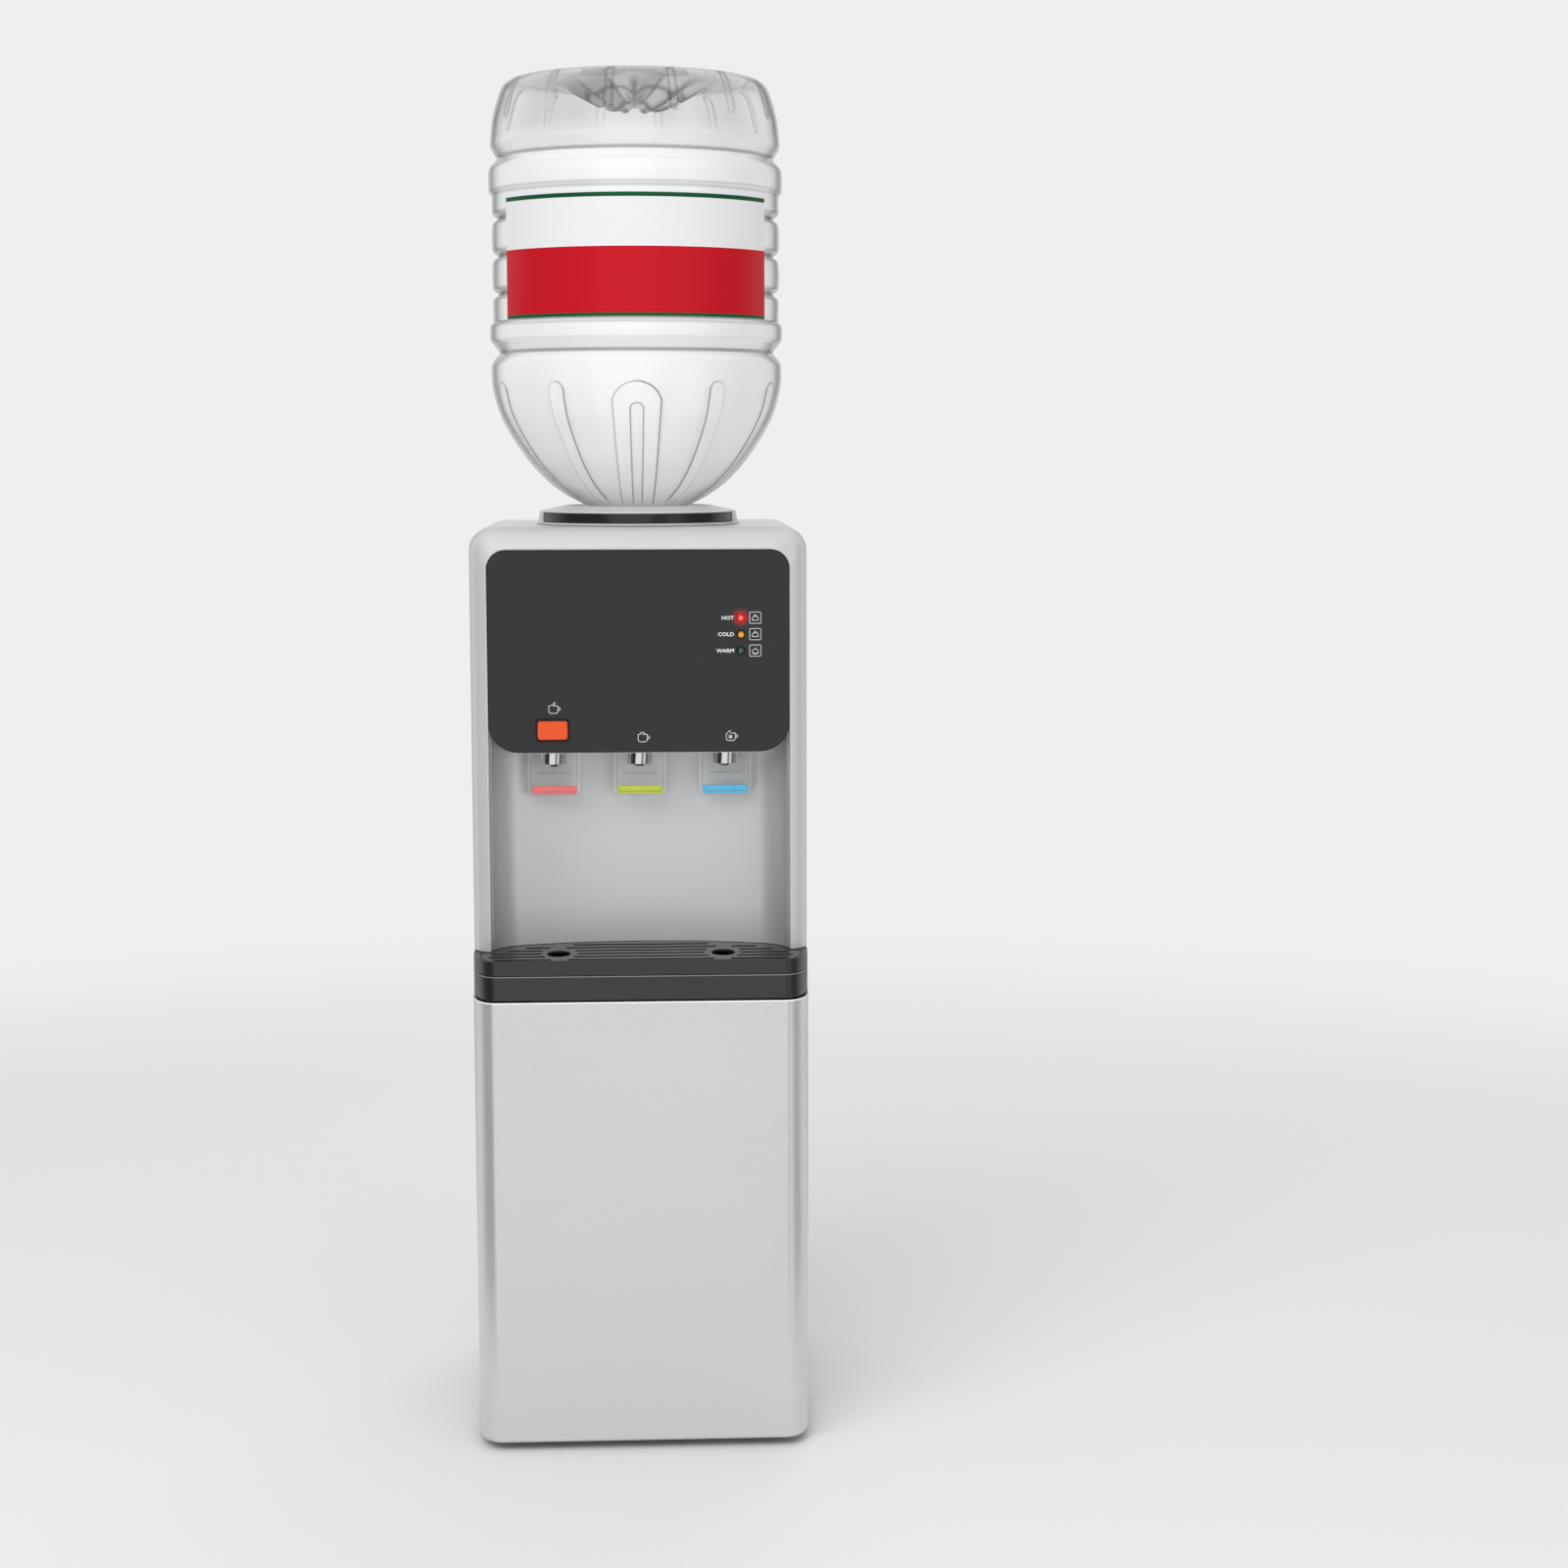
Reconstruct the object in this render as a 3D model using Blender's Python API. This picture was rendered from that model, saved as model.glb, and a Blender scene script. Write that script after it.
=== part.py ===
"""A free-standing water dispenser with a bottle on top, three taps over a drip tray and a
cabinet below. Metres, +Z up, origin on the floor under the middle of the cabinet. The front
faces -Y."""

import math

import bmesh
import bpy
from mathutils import Matrix, Vector

# Clearances
GAP = 0.0003
OVERRUN = 0.002

# Cabinet
CABINET_WIDTH = 0.300
CABINET_DEPTH = 0.330
SHEET = 0.0012
WALL = 0.0025
FOOT_HEIGHT = 0.008
LOWER_PANEL_HEIGHT = 0.402
PANEL_SEAM = 0.0012
SHELF_HEIGHT = 0.022
TRAY_HEIGHT = 0.0135
BAY_HEIGHT = 0.1797
CONTROL_HEIGHT = 0.180
TOP_BAR = 0.0198
FRONT_SETBACK = 0.044
CORNER_WIDTH = 0.0215
CORNER_DEPTH = 0.040
CORNER_RETURN = 0.006
CONDENSER_ROOM = 0.025

FRONT_Y = -CABINET_DEPTH / 2
UPPER_FRONT_Y = FRONT_Y + FRONT_SETBACK
REAR_Y = CABINET_DEPTH / 2 - CONDENSER_ROOM
REAR_SHEET_Y = REAR_Y - SHEET
SIDE_X = CABINET_WIDTH / 2
SIDE_INNER_X = SIDE_X - SHEET
SIDE_FRONT_Y = FRONT_Y + CORNER_DEPTH + CORNER_RETURN + GAP
PANEL_TOP_Z = FOOT_HEIGHT + LOWER_PANEL_HEIGHT
SHELF_Z = PANEL_TOP_Z + PANEL_SEAM
SHELF_TOP_Z = SHELF_Z + SHELF_HEIGHT
TRAY_Z = SHELF_TOP_Z + GAP
TRAY_TOP_Z = TRAY_Z + TRAY_HEIGHT
BAY_Z = TRAY_TOP_Z + GAP
CONTROL_Z = TRAY_TOP_Z + BAY_HEIGHT
CONTROL_TOP_Z = CONTROL_Z + CONTROL_HEIGHT
TOP_Z = CONTROL_TOP_Z + TOP_BAR

# Base pan and feet
PAN_HEIGHT = 0.018
FOOT_RADIUS = 0.016
FOOT_TOE_RADIUS = 0.013
FOOT_INSET = 0.042

# Upper front frame
BAR_WIDTH = 0.016
FRAME_DEPTH = 0.041
FRAME_CORNER = 0.021
FRAME_INNER_CORNER = 0.017
ROLL_WIDTH = 0.022
ROLL_DEPTH = 0.020
FRAME_LIP = 0.012
LIP_CHAMFER = 0.0011
FRAME_REAR_Y = UPPER_FRONT_Y + FRAME_DEPTH
BAY_HALF = SIDE_X - BAR_WIDTH

# Control panel
CONTROL_THICKNESS = 0.003
CONTROL_INSET = 0.0015
CONTROL_BOTTOM_CORNER = 0.026
CONTROL_CHAMFER = 0.0008
CONTROL_Y = UPPER_FRONT_Y + CONTROL_INSET
CONTROL_REAR_Y = CONTROL_Y + CONTROL_THICKNESS

# Dispensing bay
BAY_DEPTH = 0.0536
BAY_ARC = 0.348
BAY_FILLET = 0.038
LINER_TOP = 0.033
HOOD_RISE = 0.073
HOOD_LIP = 0.0008
BAY_BACK_Y = UPPER_FRONT_Y + BAY_DEPTH

# Drip tray and its grille
TRAY_BACK = 0.002
TRAY_FLOOR = 0.002
GRILLE_THICKNESS = 0.0025
GRILLE_MARGIN = 0.0022
GRILLE_SIDE_MARGIN = 0.0075
GRILLE_CORNER_WIDTH = 0.016
GRILLE_CORNER_DEPTH = 0.032
GRILLE_FIT = 0.0004
GRILLE_BACK_GAP = 0.0016
COLUMN_CLEARANCE = 0.0028
BASIN_LEDGE = 0.004
SLOT_WIDTH = 0.0060
SLOT_PITCH = 0.0147
SLOT_FIRST = 0.0050
FINGER_PLACE_SHARE = 0.5485
FINGER_WIDTH_SHARE = 0.0784
FINGER_HALF_DEPTH = 0.0150
FINGER_X = FINGER_PLACE_SHARE * BAY_HALF
FINGER_HALF_WIDTH = FINGER_WIDTH_SHARE * BAY_HALF

# Ends of the slots of one half, row by row from the front, as shares of the bay's half width
SLOT_END_SHARES = (
    ((0.0, 0.482), (0.597, 0.965)),
    ((0.0, 0.448), (0.639, 1.010)),
    ((0.0, 0.422), (0.664, 0.985)),
    ((0.0, 0.440), (0.660, 0.881)),
    ((0.0, 0.505), (0.615, 0.776)),
    ((0.0, 0.455),),
)

# Taps
TAP_PITCH = 0.077
NOZZLE_RADIUS = 0.0112
NOZZLE_BORE = 0.0045
DUCT_RADIUS = 0.003
NOZZLE_DROP = 0.0127
NOZZLE_CHAMFER = 0.0018
NOZZLE_REACH = 0.0162
TAP_HALF_WIDTH = 0.013
TAP_FRONT_REACH = 0.0065
TAP_REAR_REACH = 0.0091
TAP_HEIGHT = 0.022
EAR_THICKNESS = 0.0026
EAR_HEIGHT = 0.0115
BARB_RADIUS = 0.0045
BARB_HEIGHT = 0.0125
BARB_BORE = 0.0026
STEM_RADIUS = 0.0025
STEM_LENGTH = 0.0105
STEM_ARM = 0.010
SHAFT_RADIUS = 0.0015
SHAFT_END = 0.001
PADDLE_WIDTH = 0.0486
PADDLE_THICKNESS = 0.0022
PADDLE_DROP = 0.0415
PADDLE_TOP_GAP = 0.0022
PADDLE_CORNER = 0.006
PADDLE_NECK = 0.0100
PADDLE_ARM_WIDTH = 0.0040
PADDLE_ARM_ABOVE = 0.005
BARREL_RADIUS = 0.0034
PIVOT_RISE = 0.0095
STRIP_WIDTH = 0.041
STRIP_HEIGHT = 0.0074
STRIP_THICKNESS = 0.001
STRIP_RAISE = 0.0012
STRIP_CORNER = 0.0015
FLOOR_SLOT_BACK = 0.0065
PADDLE_FORE = 0.0008

TAP_Y = UPPER_FRONT_Y + NOZZLE_REACH
HOOD_Z = CONTROL_Z - HOOD_LIP
HOOD_FLOOR_Z = HOOD_Z + WALL
TAP_Z = HOOD_FLOOR_Z + GAP
TAP_REAR_Y = TAP_Y + TAP_REAR_REACH
PIVOT_Y = TAP_REAR_Y + BARREL_RADIUS + GAP
PIVOT_Z = CONTROL_Z + PIVOT_RISE
PADDLE_Y = PIVOT_Y - PADDLE_THICKNESS / 2
PADDLE_TOP_Z = HOOD_Z - PADDLE_TOP_GAP
PADDLE_BOTTOM_Z = CONTROL_Z - PADDLE_DROP
STEM_Z = PIVOT_Z + STEM_ARM

# Lock button and indicator lamps
BUTTON_WIDTH = 0.0271
BUTTON_HEIGHT = 0.0172
BUTTON_CORNER = 0.003
BUTTON_PROUD = 0.0022
BUTTON_CHAMFER = 0.0007
BUTTON_FLANGE = 0.0013
BUTTON_FLANGE_DEPTH = 0.0012
BUTTON_RISE = 0.0203
LAMP_INSET = 0.0434
LAMP_RADIUS = 0.0034
LAMP_PROUD = 0.0016
LAMP_DEPTH = 0.0065
LAMP_RISE = 0.1196
LAMP_PITCH = 0.0146
BOARD_HALF_WIDTH = 0.017
BOARD_MARGIN = 0.012
BOARD_THICKNESS = 0.0016

LAMP_X = BAY_HALF - LAMP_INSET

# Bottle seat and collar
AXIS_SHARE = 0.38506
COLLAR_RADIUS = 0.094
COLLAR_BORE = 0.066
COLLAR_HEIGHT = 0.0167
COLLAR_FOOT = 0.0017
COLLAR_BAND_HEIGHT = 0.0084
COLLAR_BAND_INSET = 0.0004
COLLAR_BAND_HALF_ANGLE = math.radians(74)
COLLAR_FOOT_STEP = 0.0015
COLLAR_DRAFT = 0.002
COLLAR_BAND_THICKNESS = 0.0025
COLLAR_SLOPE_RADIUS = 0.0675
COLLAR_EDGE = 0.0010
TOP_HOLE_RADIUS = 0.0606
THROAT_RADIUS = 0.034
THROAT_DEPTH = 0.0545
SEAT_FLANGE = 0.009
PROBE_RADIUS = 0.007
PROBE_RISE = 0.045
PROBE_FLANGE = 0.003
PROBE_TIP = 0.006

AXIS_Y = BAY_BACK_Y + AXIS_SHARE * (REAR_SHEET_Y - BAY_BACK_Y)
COLLAR_Z = TOP_Z + GAP
COLLAR_TOP_Z = COLLAR_Z + COLLAR_HEIGHT
SEAT_BOTTOM_Z = TOP_Z - THROAT_DEPTH

# Bottle
BOTTLE_RADIUS = 0.1346
BOTTLE_HEIGHT = 0.3875
BOTTLE_WALL = 0.0022
SEAT_CONTACT_RADIUS = 0.047
NECK_RADIUS = 0.0275
NECK_LENGTH = 0.060
CAP_WALL = 0.0022
CAP_HEIGHT = 0.030
CAP_HOLE = 0.0085
LABEL_THICKNESS = 0.0004
LABEL_HALF_ANGLE = math.radians(61)
# Outer profile from the shoulder up: share of the height, share of the radius
BOTTLE_PROFILE_SHARES = (
    (0.000, 0.335), (0.051, 0.568), (0.103, 0.722), (0.168, 0.856), (0.224, 0.950),
    (0.283, 0.985), (0.333, 0.991), (0.351, 0.960), (0.364, 0.934), (0.378, 0.960),
    (0.394, 0.998), (0.426, 1.000), (0.436, 0.974), (0.486, 0.974), (0.501, 0.937),
    (0.515, 0.974), (0.574, 0.974), (0.589, 0.937), (0.603, 0.974), (0.661, 0.974),
    (0.675, 0.937), (0.690, 0.974), (0.728, 0.974), (0.740, 0.997), (0.787, 0.996),
    (0.803, 0.960), (0.815, 0.937), (0.830, 0.962), (0.847, 0.983), (0.903, 0.966),
    (0.950, 0.931), (0.977, 0.903), (0.993, 0.868), (0.999, 0.820), (1.000, 0.640),
    (0.994, 0.455), (0.962, 0.310), (0.936, 0.120),
)
INNER_PROFILE_SHARES = (
    (0.923, 0.120), (0.949, 0.310), (0.980, 0.455), (0.986, 0.640), (0.960, 0.830), (0.889, 0.945),
    (0.654, 0.905), (0.409, 0.905), (0.307, 0.960), (0.224, 0.925), (0.168, 0.830),
    (0.103, 0.690), (0.051, 0.530),
)
LABEL_BOTTOM_SHARE = 0.4375
LABEL_HEIGHT_SHARE = 0.2751
LABEL_RADIUS_SHARE = 0.974

# Tanks
TANK_CLEARANCE = 0.0122
FOAM_THICKNESS = 0.0122
TANK_BOTTOM_Z = 0.575
DECK_THICKNESS = 0.0025
DECK_FRONT_GAP = 0.0174
DECK_REAR_GAP = 0.0438
HOT_TANK_RADIUS = 0.055
HOT_TANK_HEIGHT = 0.185
HOT_TANK_SETBACK = 0.023
COMPRESSOR_RADIUS = 0.064
COMPRESSOR_HEIGHT = 0.155
COMPRESSOR_BACK = 0.0938
TANK_DOME_SHARES = ((0.0, 0.70), (0.03, 0.90), (0.10, 1.00), (0.90, 1.00), (0.97, 0.90), (1.0, 0.70))
COMPRESSOR_SHARES = ((0.0, 0.90), (0.06, 1.00), (0.40, 1.00), (0.43, 1.06), (0.47, 1.06),
                     (0.50, 1.00), (0.80, 0.94), (0.94, 0.70), (1.0, 0.30))

TANK_RADIUS = AXIS_Y - BAY_BACK_Y - TANK_CLEARANCE - FOAM_THICKNESS
DECK_FRONT_Y = BAY_BACK_Y + DECK_FRONT_GAP
DECK_REAR_Y = REAR_SHEET_Y - DECK_REAR_GAP
HOT_TANK_Y = AXIS_Y + HOT_TANK_SETBACK
COMPRESSOR_Y = REAR_SHEET_Y - COMPRESSOR_BACK

# Hoses
HOSE_RADIUS = 0.004
HOSE_RISE = 0.022
HOSE_Z = 0.700
HOSE_STEP = 0.012

# Condenser and its bracket
COIL_RADIUS = 0.0024
COIL_CLEAR = 0.0017
COIL_EDGE = 0.045
COIL_RUNS = 10
COIL_PITCH = 0.040
COIL_BOTTOM_Z = 0.170
BRACKET_EDGE = 0.080
BRACKET_WIDTH = 0.012
BRACKET_BAR = 0.014
HOOK = 0.0013
HOOK_LENGTH = 0.006

COIL_HALF_WIDTH = SIDE_X - COIL_EDGE
BRACKET_HALF_SPAN = SIDE_X - BRACKET_EDGE

# Rear fittings
VENT_LENGTH_SHARE = 0.5
VENT_HEIGHT = 0.005
VENT_PITCH = 0.012
VENT_MIDDLE_GAP = 0.0145
VENT_LOW_Z = 0.105
VENT_HIGH_Z = 0.640
VENT_ROWS = 4
SWITCH_EDGE = 0.042
SWITCH_PITCH = 0.019
SWITCH_Z = 0.752
SWITCH_HALF_WIDTH = 0.006
SWITCH_HALF_HEIGHT = 0.0083
SWITCH_OPENING = 0.0010
BEZEL_MARGIN = 0.004
BEZEL_DEPTH = 0.006
ROCKER_PIVOT = 0.004
ROCKER_BACK = 0.0018
ROCKER_CENTRE = 0.0024
ROCKER_END = 0.0042
ROCKER_TILT = math.radians(8)
DRAIN_EDGE = 0.080
DRAIN_Z = 0.055
DRAIN_RADIUS = 0.007
DRAIN_LENGTH = 0.0103
DRAIN_CAP_RADIUS = 0.011
DRAIN_CAP_START = 0.0035
DRAIN_CAP_END = 0.013
DRAIN_FIT = 0.0004
DRAIN_BORE = 0.005
GLAND_EDGE = 0.050
GLAND_RADIUS = 0.009
GLAND_TIP_RADIUS = 0.0058
GLAND_BORE = 0.0038
GLAND_LENGTH = 0.0155
GLAND_FLANGE = 0.003

VENT_LENGTH = VENT_LENGTH_SHARE * SIDE_X
VENT_X = VENT_MIDDLE_GAP + VENT_LENGTH / 2
SWITCH_X = SWITCH_EDGE - SIDE_X
DRAIN_X = SIDE_X - DRAIN_EDGE
GLAND_X = GLAND_EDGE - SIDE_X

ROUND_STEPS = 32
WIDE_STEPS = 40
SMALL_STEPS = 18
ARC_STEPS = 7
SMOOTH_ANGLE = math.radians(35)

# Colours as linear values, with roughness, metallic and alpha
FINISHES = {
    "silver_paint": ((0.58, 0.58, 0.58), 0.35, 0.15, 1.0),
    "light_plastic": ((0.66, 0.66, 0.66), 0.35, 0.0, 1.0),
    "bay_plastic": ((0.46, 0.47, 0.47), 0.30, 0.10, 1.0),
    "dark_plastic": ((0.045, 0.044, 0.046), 0.30, 0.0, 1.0),
    "gloss_black": ((0.030, 0.030, 0.032), 0.15, 0.0, 1.0),
    "chrome": ((0.80, 0.80, 0.80), 0.08, 1.0, 1.0),
    "steel": ((0.60, 0.60, 0.60), 0.30, 1.0, 1.0),
    "clear": ((0.90, 0.92, 0.93), 0.05, 0.0, 0.35),
    "orange": ((0.85, 0.12, 0.03), 0.35, 0.0, 1.0),
    "red": ((0.80, 0.17, 0.16), 0.35, 0.0, 1.0),
    "green": ((0.48, 0.58, 0.05), 0.35, 0.0, 1.0),
    "blue": ((0.07, 0.45, 0.76), 0.35, 0.0, 1.0),
    "lamp_red": ((0.85, 0.0, 0.01), 0.20, 0.0, 1.0),
    "lamp_amber": ((0.70, 0.33, 0.01), 0.20, 0.0, 1.0),
    "lamp_green": ((0.01, 0.11, 0.05), 0.20, 0.0, 1.0),
    "label_paper": ((0.80, 0.80, 0.80), 0.50, 0.0, 1.0),
    "foam": ((0.85, 0.85, 0.83), 0.90, 0.0, 1.0),
    "black_steel": ((0.02, 0.02, 0.02), 0.45, 0.3, 1.0),
    "rubber": ((0.02, 0.02, 0.02), 0.80, 0.0, 1.0),
    "board_green": ((0.02, 0.15, 0.05), 0.50, 0.0, 1.0),
}


def clear_scene():
    for obj in list(bpy.data.objects):
        bpy.data.objects.remove(obj)


def finish(name):
    """One material for each finish, made the first time that it is used."""
    if name in bpy.data.materials:
        return bpy.data.materials[name]
    colour, roughness, metallic, alpha = FINISHES[name]
    made = bpy.data.materials.new(name)
    made.use_nodes = True
    shader = made.node_tree.nodes["Principled BSDF"]
    shader.inputs["Base Color"].default_value = (*colour, 1)
    shader.inputs["Roughness"].default_value = roughness
    shader.inputs["Metallic"].default_value = metallic
    shader.inputs["Alpha"].default_value = alpha
    return made


def place(name, mesh, look, origin=(0, 0, 0), parent=None):
    """Make one object of a bmesh written in world coordinates, with its origin where asked."""
    origin = Vector(origin)
    bmesh.ops.recalc_face_normals(mesh, faces=mesh.faces)
    bmesh.ops.translate(mesh, vec=-origin, verts=mesh.verts)
    data = bpy.data.meshes.new(name)
    mesh.to_mesh(data)
    mesh.free()
    data.shade_smooth()
    data.set_sharp_from_angle(angle=SMOOTH_ANGLE)
    if look:
        data.materials.append(finish(look))
    obj = bpy.data.objects.new(name, data)
    bpy.context.scene.collection.objects.link(obj)
    obj.location = origin - parent.location if parent else origin
    obj.parent = parent
    return obj


def joint_frame(name, position):
    """An empty on a joint's axis, which the moving pieces hang on."""
    empty = bpy.data.objects.new(name, None)
    bpy.context.scene.collection.objects.link(empty)
    empty.location = position
    return empty


def helper(name, mesh):
    """A shape that only cuts or joins, and isn't a piece itself."""
    obj = place(name, mesh, None)
    obj.hide_render = True
    obj.display_type = "WIRE"
    return obj


def boolean(obj, other, operation):
    step = obj.modifiers.new(other.name, "BOOLEAN")
    step.operation = operation
    step.solver = "EXACT"
    step.object = other


def cut(obj, mesh):
    boolean(obj, helper("cut_" + obj.name, mesh), "DIFFERENCE")


def join(obj, mesh):
    boolean(obj, helper("join_" + obj.name, mesh), "UNION")


def on_axis(axis, u, v, w):
    """A point from two plan coordinates and one along the axis."""
    return {"X": (w, u, v), "Y": (u, w, v), "Z": (u, v, w)}[axis]


def add_prism(mesh, outline, low, high, axis="Z"):
    """Extrude a closed outline from low to high. It lies in XY, in XZ for axis Y, in YZ for X."""
    add_loft(mesh, [[on_axis(axis, u, v, w) for u, v in outline] for w in (low, high)])


def add_loft(mesh, rings):
    """Skin closed rings of as many points each, and close both ends."""
    made = [[mesh.verts.new(point) for point in ring] for ring in rings]
    count = len(rings[0])
    for first, second in zip(made, made[1:]):
        for i in range(count):
            j = (i + 1) % count
            mesh.faces.new((first[i], first[j], second[j], second[i]))
    mesh.faces.new(made[0])
    mesh.faces.new(made[-1])


def add_box(mesh, low, high):
    outline = [(low[0], low[1]), (high[0], low[1]), (high[0], high[1]), (low[0], high[1])]
    add_prism(mesh, outline, low[2], high[2])


def add_turned(mesh, profile, centre, steps, axis="Z", closed=False):
    """Turn a profile of (radius, place along the axis). An open one starts and ends on the axis."""
    centre = Vector(centre)
    columns = []
    for k in range(steps):
        turn = 2 * math.pi * k / steps
        column = []
        for radius, along in profile:
            if radius == 0 and k:
                column.append(columns[0][len(column)])
                continue
            flat = radius * math.cos(turn), radius * math.sin(turn)
            column.append(mesh.verts.new(centre + Vector(on_axis(axis, *flat, along))))
        columns.append(column)
    pairs = list(zip(range(len(profile)), range(1, len(profile))))
    if closed:
        pairs.append((len(profile) - 1, 0))
    for k in range(steps):
        here, there = columns[k], columns[(k + 1) % steps]
        for i, j in pairs:
            corners = dict.fromkeys((here[i], here[j], there[j], there[i]))
            if len(corners) > 2:
                mesh.faces.new(tuple(corners))


def disc_profile(radius, low, high):
    return [(0, low), (radius, low), (radius, high), (0, high)]


def prism(outline, low, high, axis="Z"):
    mesh = bmesh.new()
    add_prism(mesh, outline, low, high, axis)
    return mesh


def box(low, high):
    mesh = bmesh.new()
    add_box(mesh, low, high)
    return mesh


def turned(profile, centre, steps=ROUND_STEPS, axis="Z", closed=False):
    mesh = bmesh.new()
    add_turned(mesh, profile, centre, steps, axis, closed)
    return mesh


def arc(centre, half_axes, start, stop, steps=ARC_STEPS):
    """Points on an ellipse from one angle to another, in degrees."""
    points = []
    for k in range(steps + 1):
        turn = math.radians(start + (stop - start) * k / steps)
        points.append((centre[0] + half_axes[0] * math.cos(turn), centre[1] + half_axes[1] * math.sin(turn)))
    return points


def rounded(half_width, low, high, bottom_radius, top_radius, centre=0.0):
    """An upright outline with its own corner radius below and above."""
    x, b, t = half_width, bottom_radius, top_radius
    right = arc((centre + x - b, low + b), (b, b), -90, 0) + arc((centre + x - t, high - t), (t, t), 0, 90)
    left = arc((centre - x + t, high - t), (t, t), 90, 180) + arc((centre - x + b, low + b), (b, b), 180, 270)
    return right + left


def front_outline(inset, back, half=SIDE_X, width=CORNER_WIDTH, depth=CORNER_DEPTH, front=FRONT_Y):
    """The cabinet's plan from one rear corner round the bowed front to the other, drawn in by inset."""
    half, front, width, depth = half - inset, front + inset, width - inset, depth - inset
    centre = (half - width, front + depth)
    right = arc(centre, (width, depth), 0, -90)
    return [(half, back), *right, *[(-x, y) for x, y in reversed(right)], (-half, back)]


def shell_outline(outer, inner):
    return outer + inner[::-1]


def bay_curve(inset, front):
    """The bay's back wall in plan from right to left, drawn in towards the bay by inset."""
    half = BAY_HALF - inset
    arc_y = BAY_BACK_Y - BAY_ARC
    fillet_x = BAY_HALF - BAY_FILLET
    fillet_y = arc_y + math.sqrt((BAY_ARC - BAY_FILLET) ** 2 - fillet_x**2)
    meet = math.degrees(math.atan2(fillet_y - arc_y, fillet_x))
    fillet, sweep = BAY_FILLET - inset, BAY_ARC - inset
    begin = math.degrees(math.asin(max(0, (front - fillet_y) / fillet)))
    right = arc((fillet_x, fillet_y), (fillet, fillet), begin, meet)
    if begin == 0:
        right.insert(0, (half, front))
    back = arc((0, arc_y), (sweep, sweep), meet, 180 - meet, 2 * ARC_STEPS)
    left = [(-x, y) for x, y in reversed(right)]
    return [*right, *back[1:-1], *left]


def build_base():
    back = REAR_SHEET_Y - SHEET - 2 * GAP
    inset = SHEET + GAP
    outer = front_outline(inset, back)
    inner = front_outline(inset + WALL, back - WALL)
    pan = bmesh.new()
    floor, rim = FOOT_HEIGHT + WALL, FOOT_HEIGHT + PAN_HEIGHT
    levels = ((outer, FOOT_HEIGHT), (outer, rim), (inner, rim), (inner, floor))
    add_loft(pan, [[(x, y, z) for x, y in outline] for outline, z in levels])
    place("base_pan", pan, "black_steel")
    top = FOOT_HEIGHT - GAP
    profile = [(0, 0), (FOOT_TOE_RADIUS, 0), (FOOT_RADIUS, top / 2), (FOOT_RADIUS, top), (0, top)]
    for row, y in (("front", FRONT_Y + FOOT_INSET), ("rear", REAR_Y - FOOT_INSET)):
        for side, x in (("left", -SIDE_X + FOOT_INSET), ("right", SIDE_X - FOOT_INSET)):
            place(f"foot_{row}_{side}", turned(profile, (x, y, 0), SMALL_STEPS), "rubber", (x, y, 0))


def build_panels():
    return_y = SIDE_FRONT_Y - GAP
    outline = shell_outline(front_outline(0, return_y), front_outline(SHEET, return_y))
    place("lower_front_panel", prism(outline, FOOT_HEIGHT, PANEL_TOP_Z), "silver_paint")
    top = TOP_Z - FRAME_CORNER - GAP
    rear = REAR_SHEET_Y - GAP
    upper_y = FRAME_REAR_Y + GAP
    sheet = [(SIDE_FRONT_Y, FOOT_HEIGHT), (rear, FOOT_HEIGHT), (rear, top), (upper_y, top),
             (upper_y, BAY_Z), (SIDE_FRONT_Y, BAY_Z)]
    for side, sign in (("left", -1), ("right", 1)):
        panel = place(f"{side}_side_panel", prism(sheet, sign * SIDE_INNER_X, sign * SIDE_X, "X"), "silver_paint")
        edges = sorted((sign * (SIDE_X - SHEET / 2), sign * (SIDE_INNER_X - BAR_WIDTH)))
        low = FOOT_HEIGHT + OVERRUN
        join(panel, box((edges[0], rear - SHEET, low), (edges[1], rear, top - OVERRUN)))


def build_rear():
    outline = rounded(SIDE_X, FOOT_HEIGHT, TOP_Z, OVERRUN, FRAME_CORNER)
    panel = place("rear_panel", prism(outline, REAR_SHEET_Y, REAR_Y, "Y"), "silver_paint")
    stub = disc_profile(DRAIN_RADIUS, REAR_SHEET_Y, REAR_Y + DRAIN_LENGTH)
    join(panel, turned(stub, (DRAIN_X, 0, DRAIN_Z), SMALL_STEPS, "Y"))
    openings = bmesh.new()
    for low_z in (VENT_LOW_Z, VENT_HIGH_Z):
        for row in range(VENT_ROWS):
            for x in (-VENT_X, VENT_X):
                z = low_z + row * VENT_PITCH
                add_box(
                    openings,
                    (x - VENT_LENGTH / 2, REAR_SHEET_Y - OVERRUN, z),
                    (x + VENT_LENGTH / 2, REAR_Y + OVERRUN, z + VENT_HEIGHT),
                )
    bore = disc_profile(DRAIN_BORE, REAR_SHEET_Y - OVERRUN, REAR_Y + DRAIN_LENGTH + OVERRUN)
    add_turned(openings, bore, (DRAIN_X, 0, DRAIN_Z), SMALL_STEPS, "Y")
    cut(panel, openings)


def build_top_cover():
    def hoop(inset):
        half, top, corner = SIDE_X - inset, TOP_Z - inset, FRAME_CORNER - inset
        right = arc((half - corner, top - corner), (corner, corner), 0, 90)
        return [*right, *[(-x, z) for x, z in reversed(right)]]

    outline = shell_outline(hoop(0), hoop(WALL))
    cover = place(
        "top_cover", prism(outline, FRAME_REAR_Y + GAP, REAR_SHEET_Y - GAP, "Y"), "light_plastic"
    )
    hole = disc_profile(TOP_HOLE_RADIUS, TOP_Z - WALL - OVERRUN, TOP_Z + OVERRUN)
    cut(cover, turned(hole, (0, AXIS_Y, 0), WIDE_STEPS))


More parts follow.
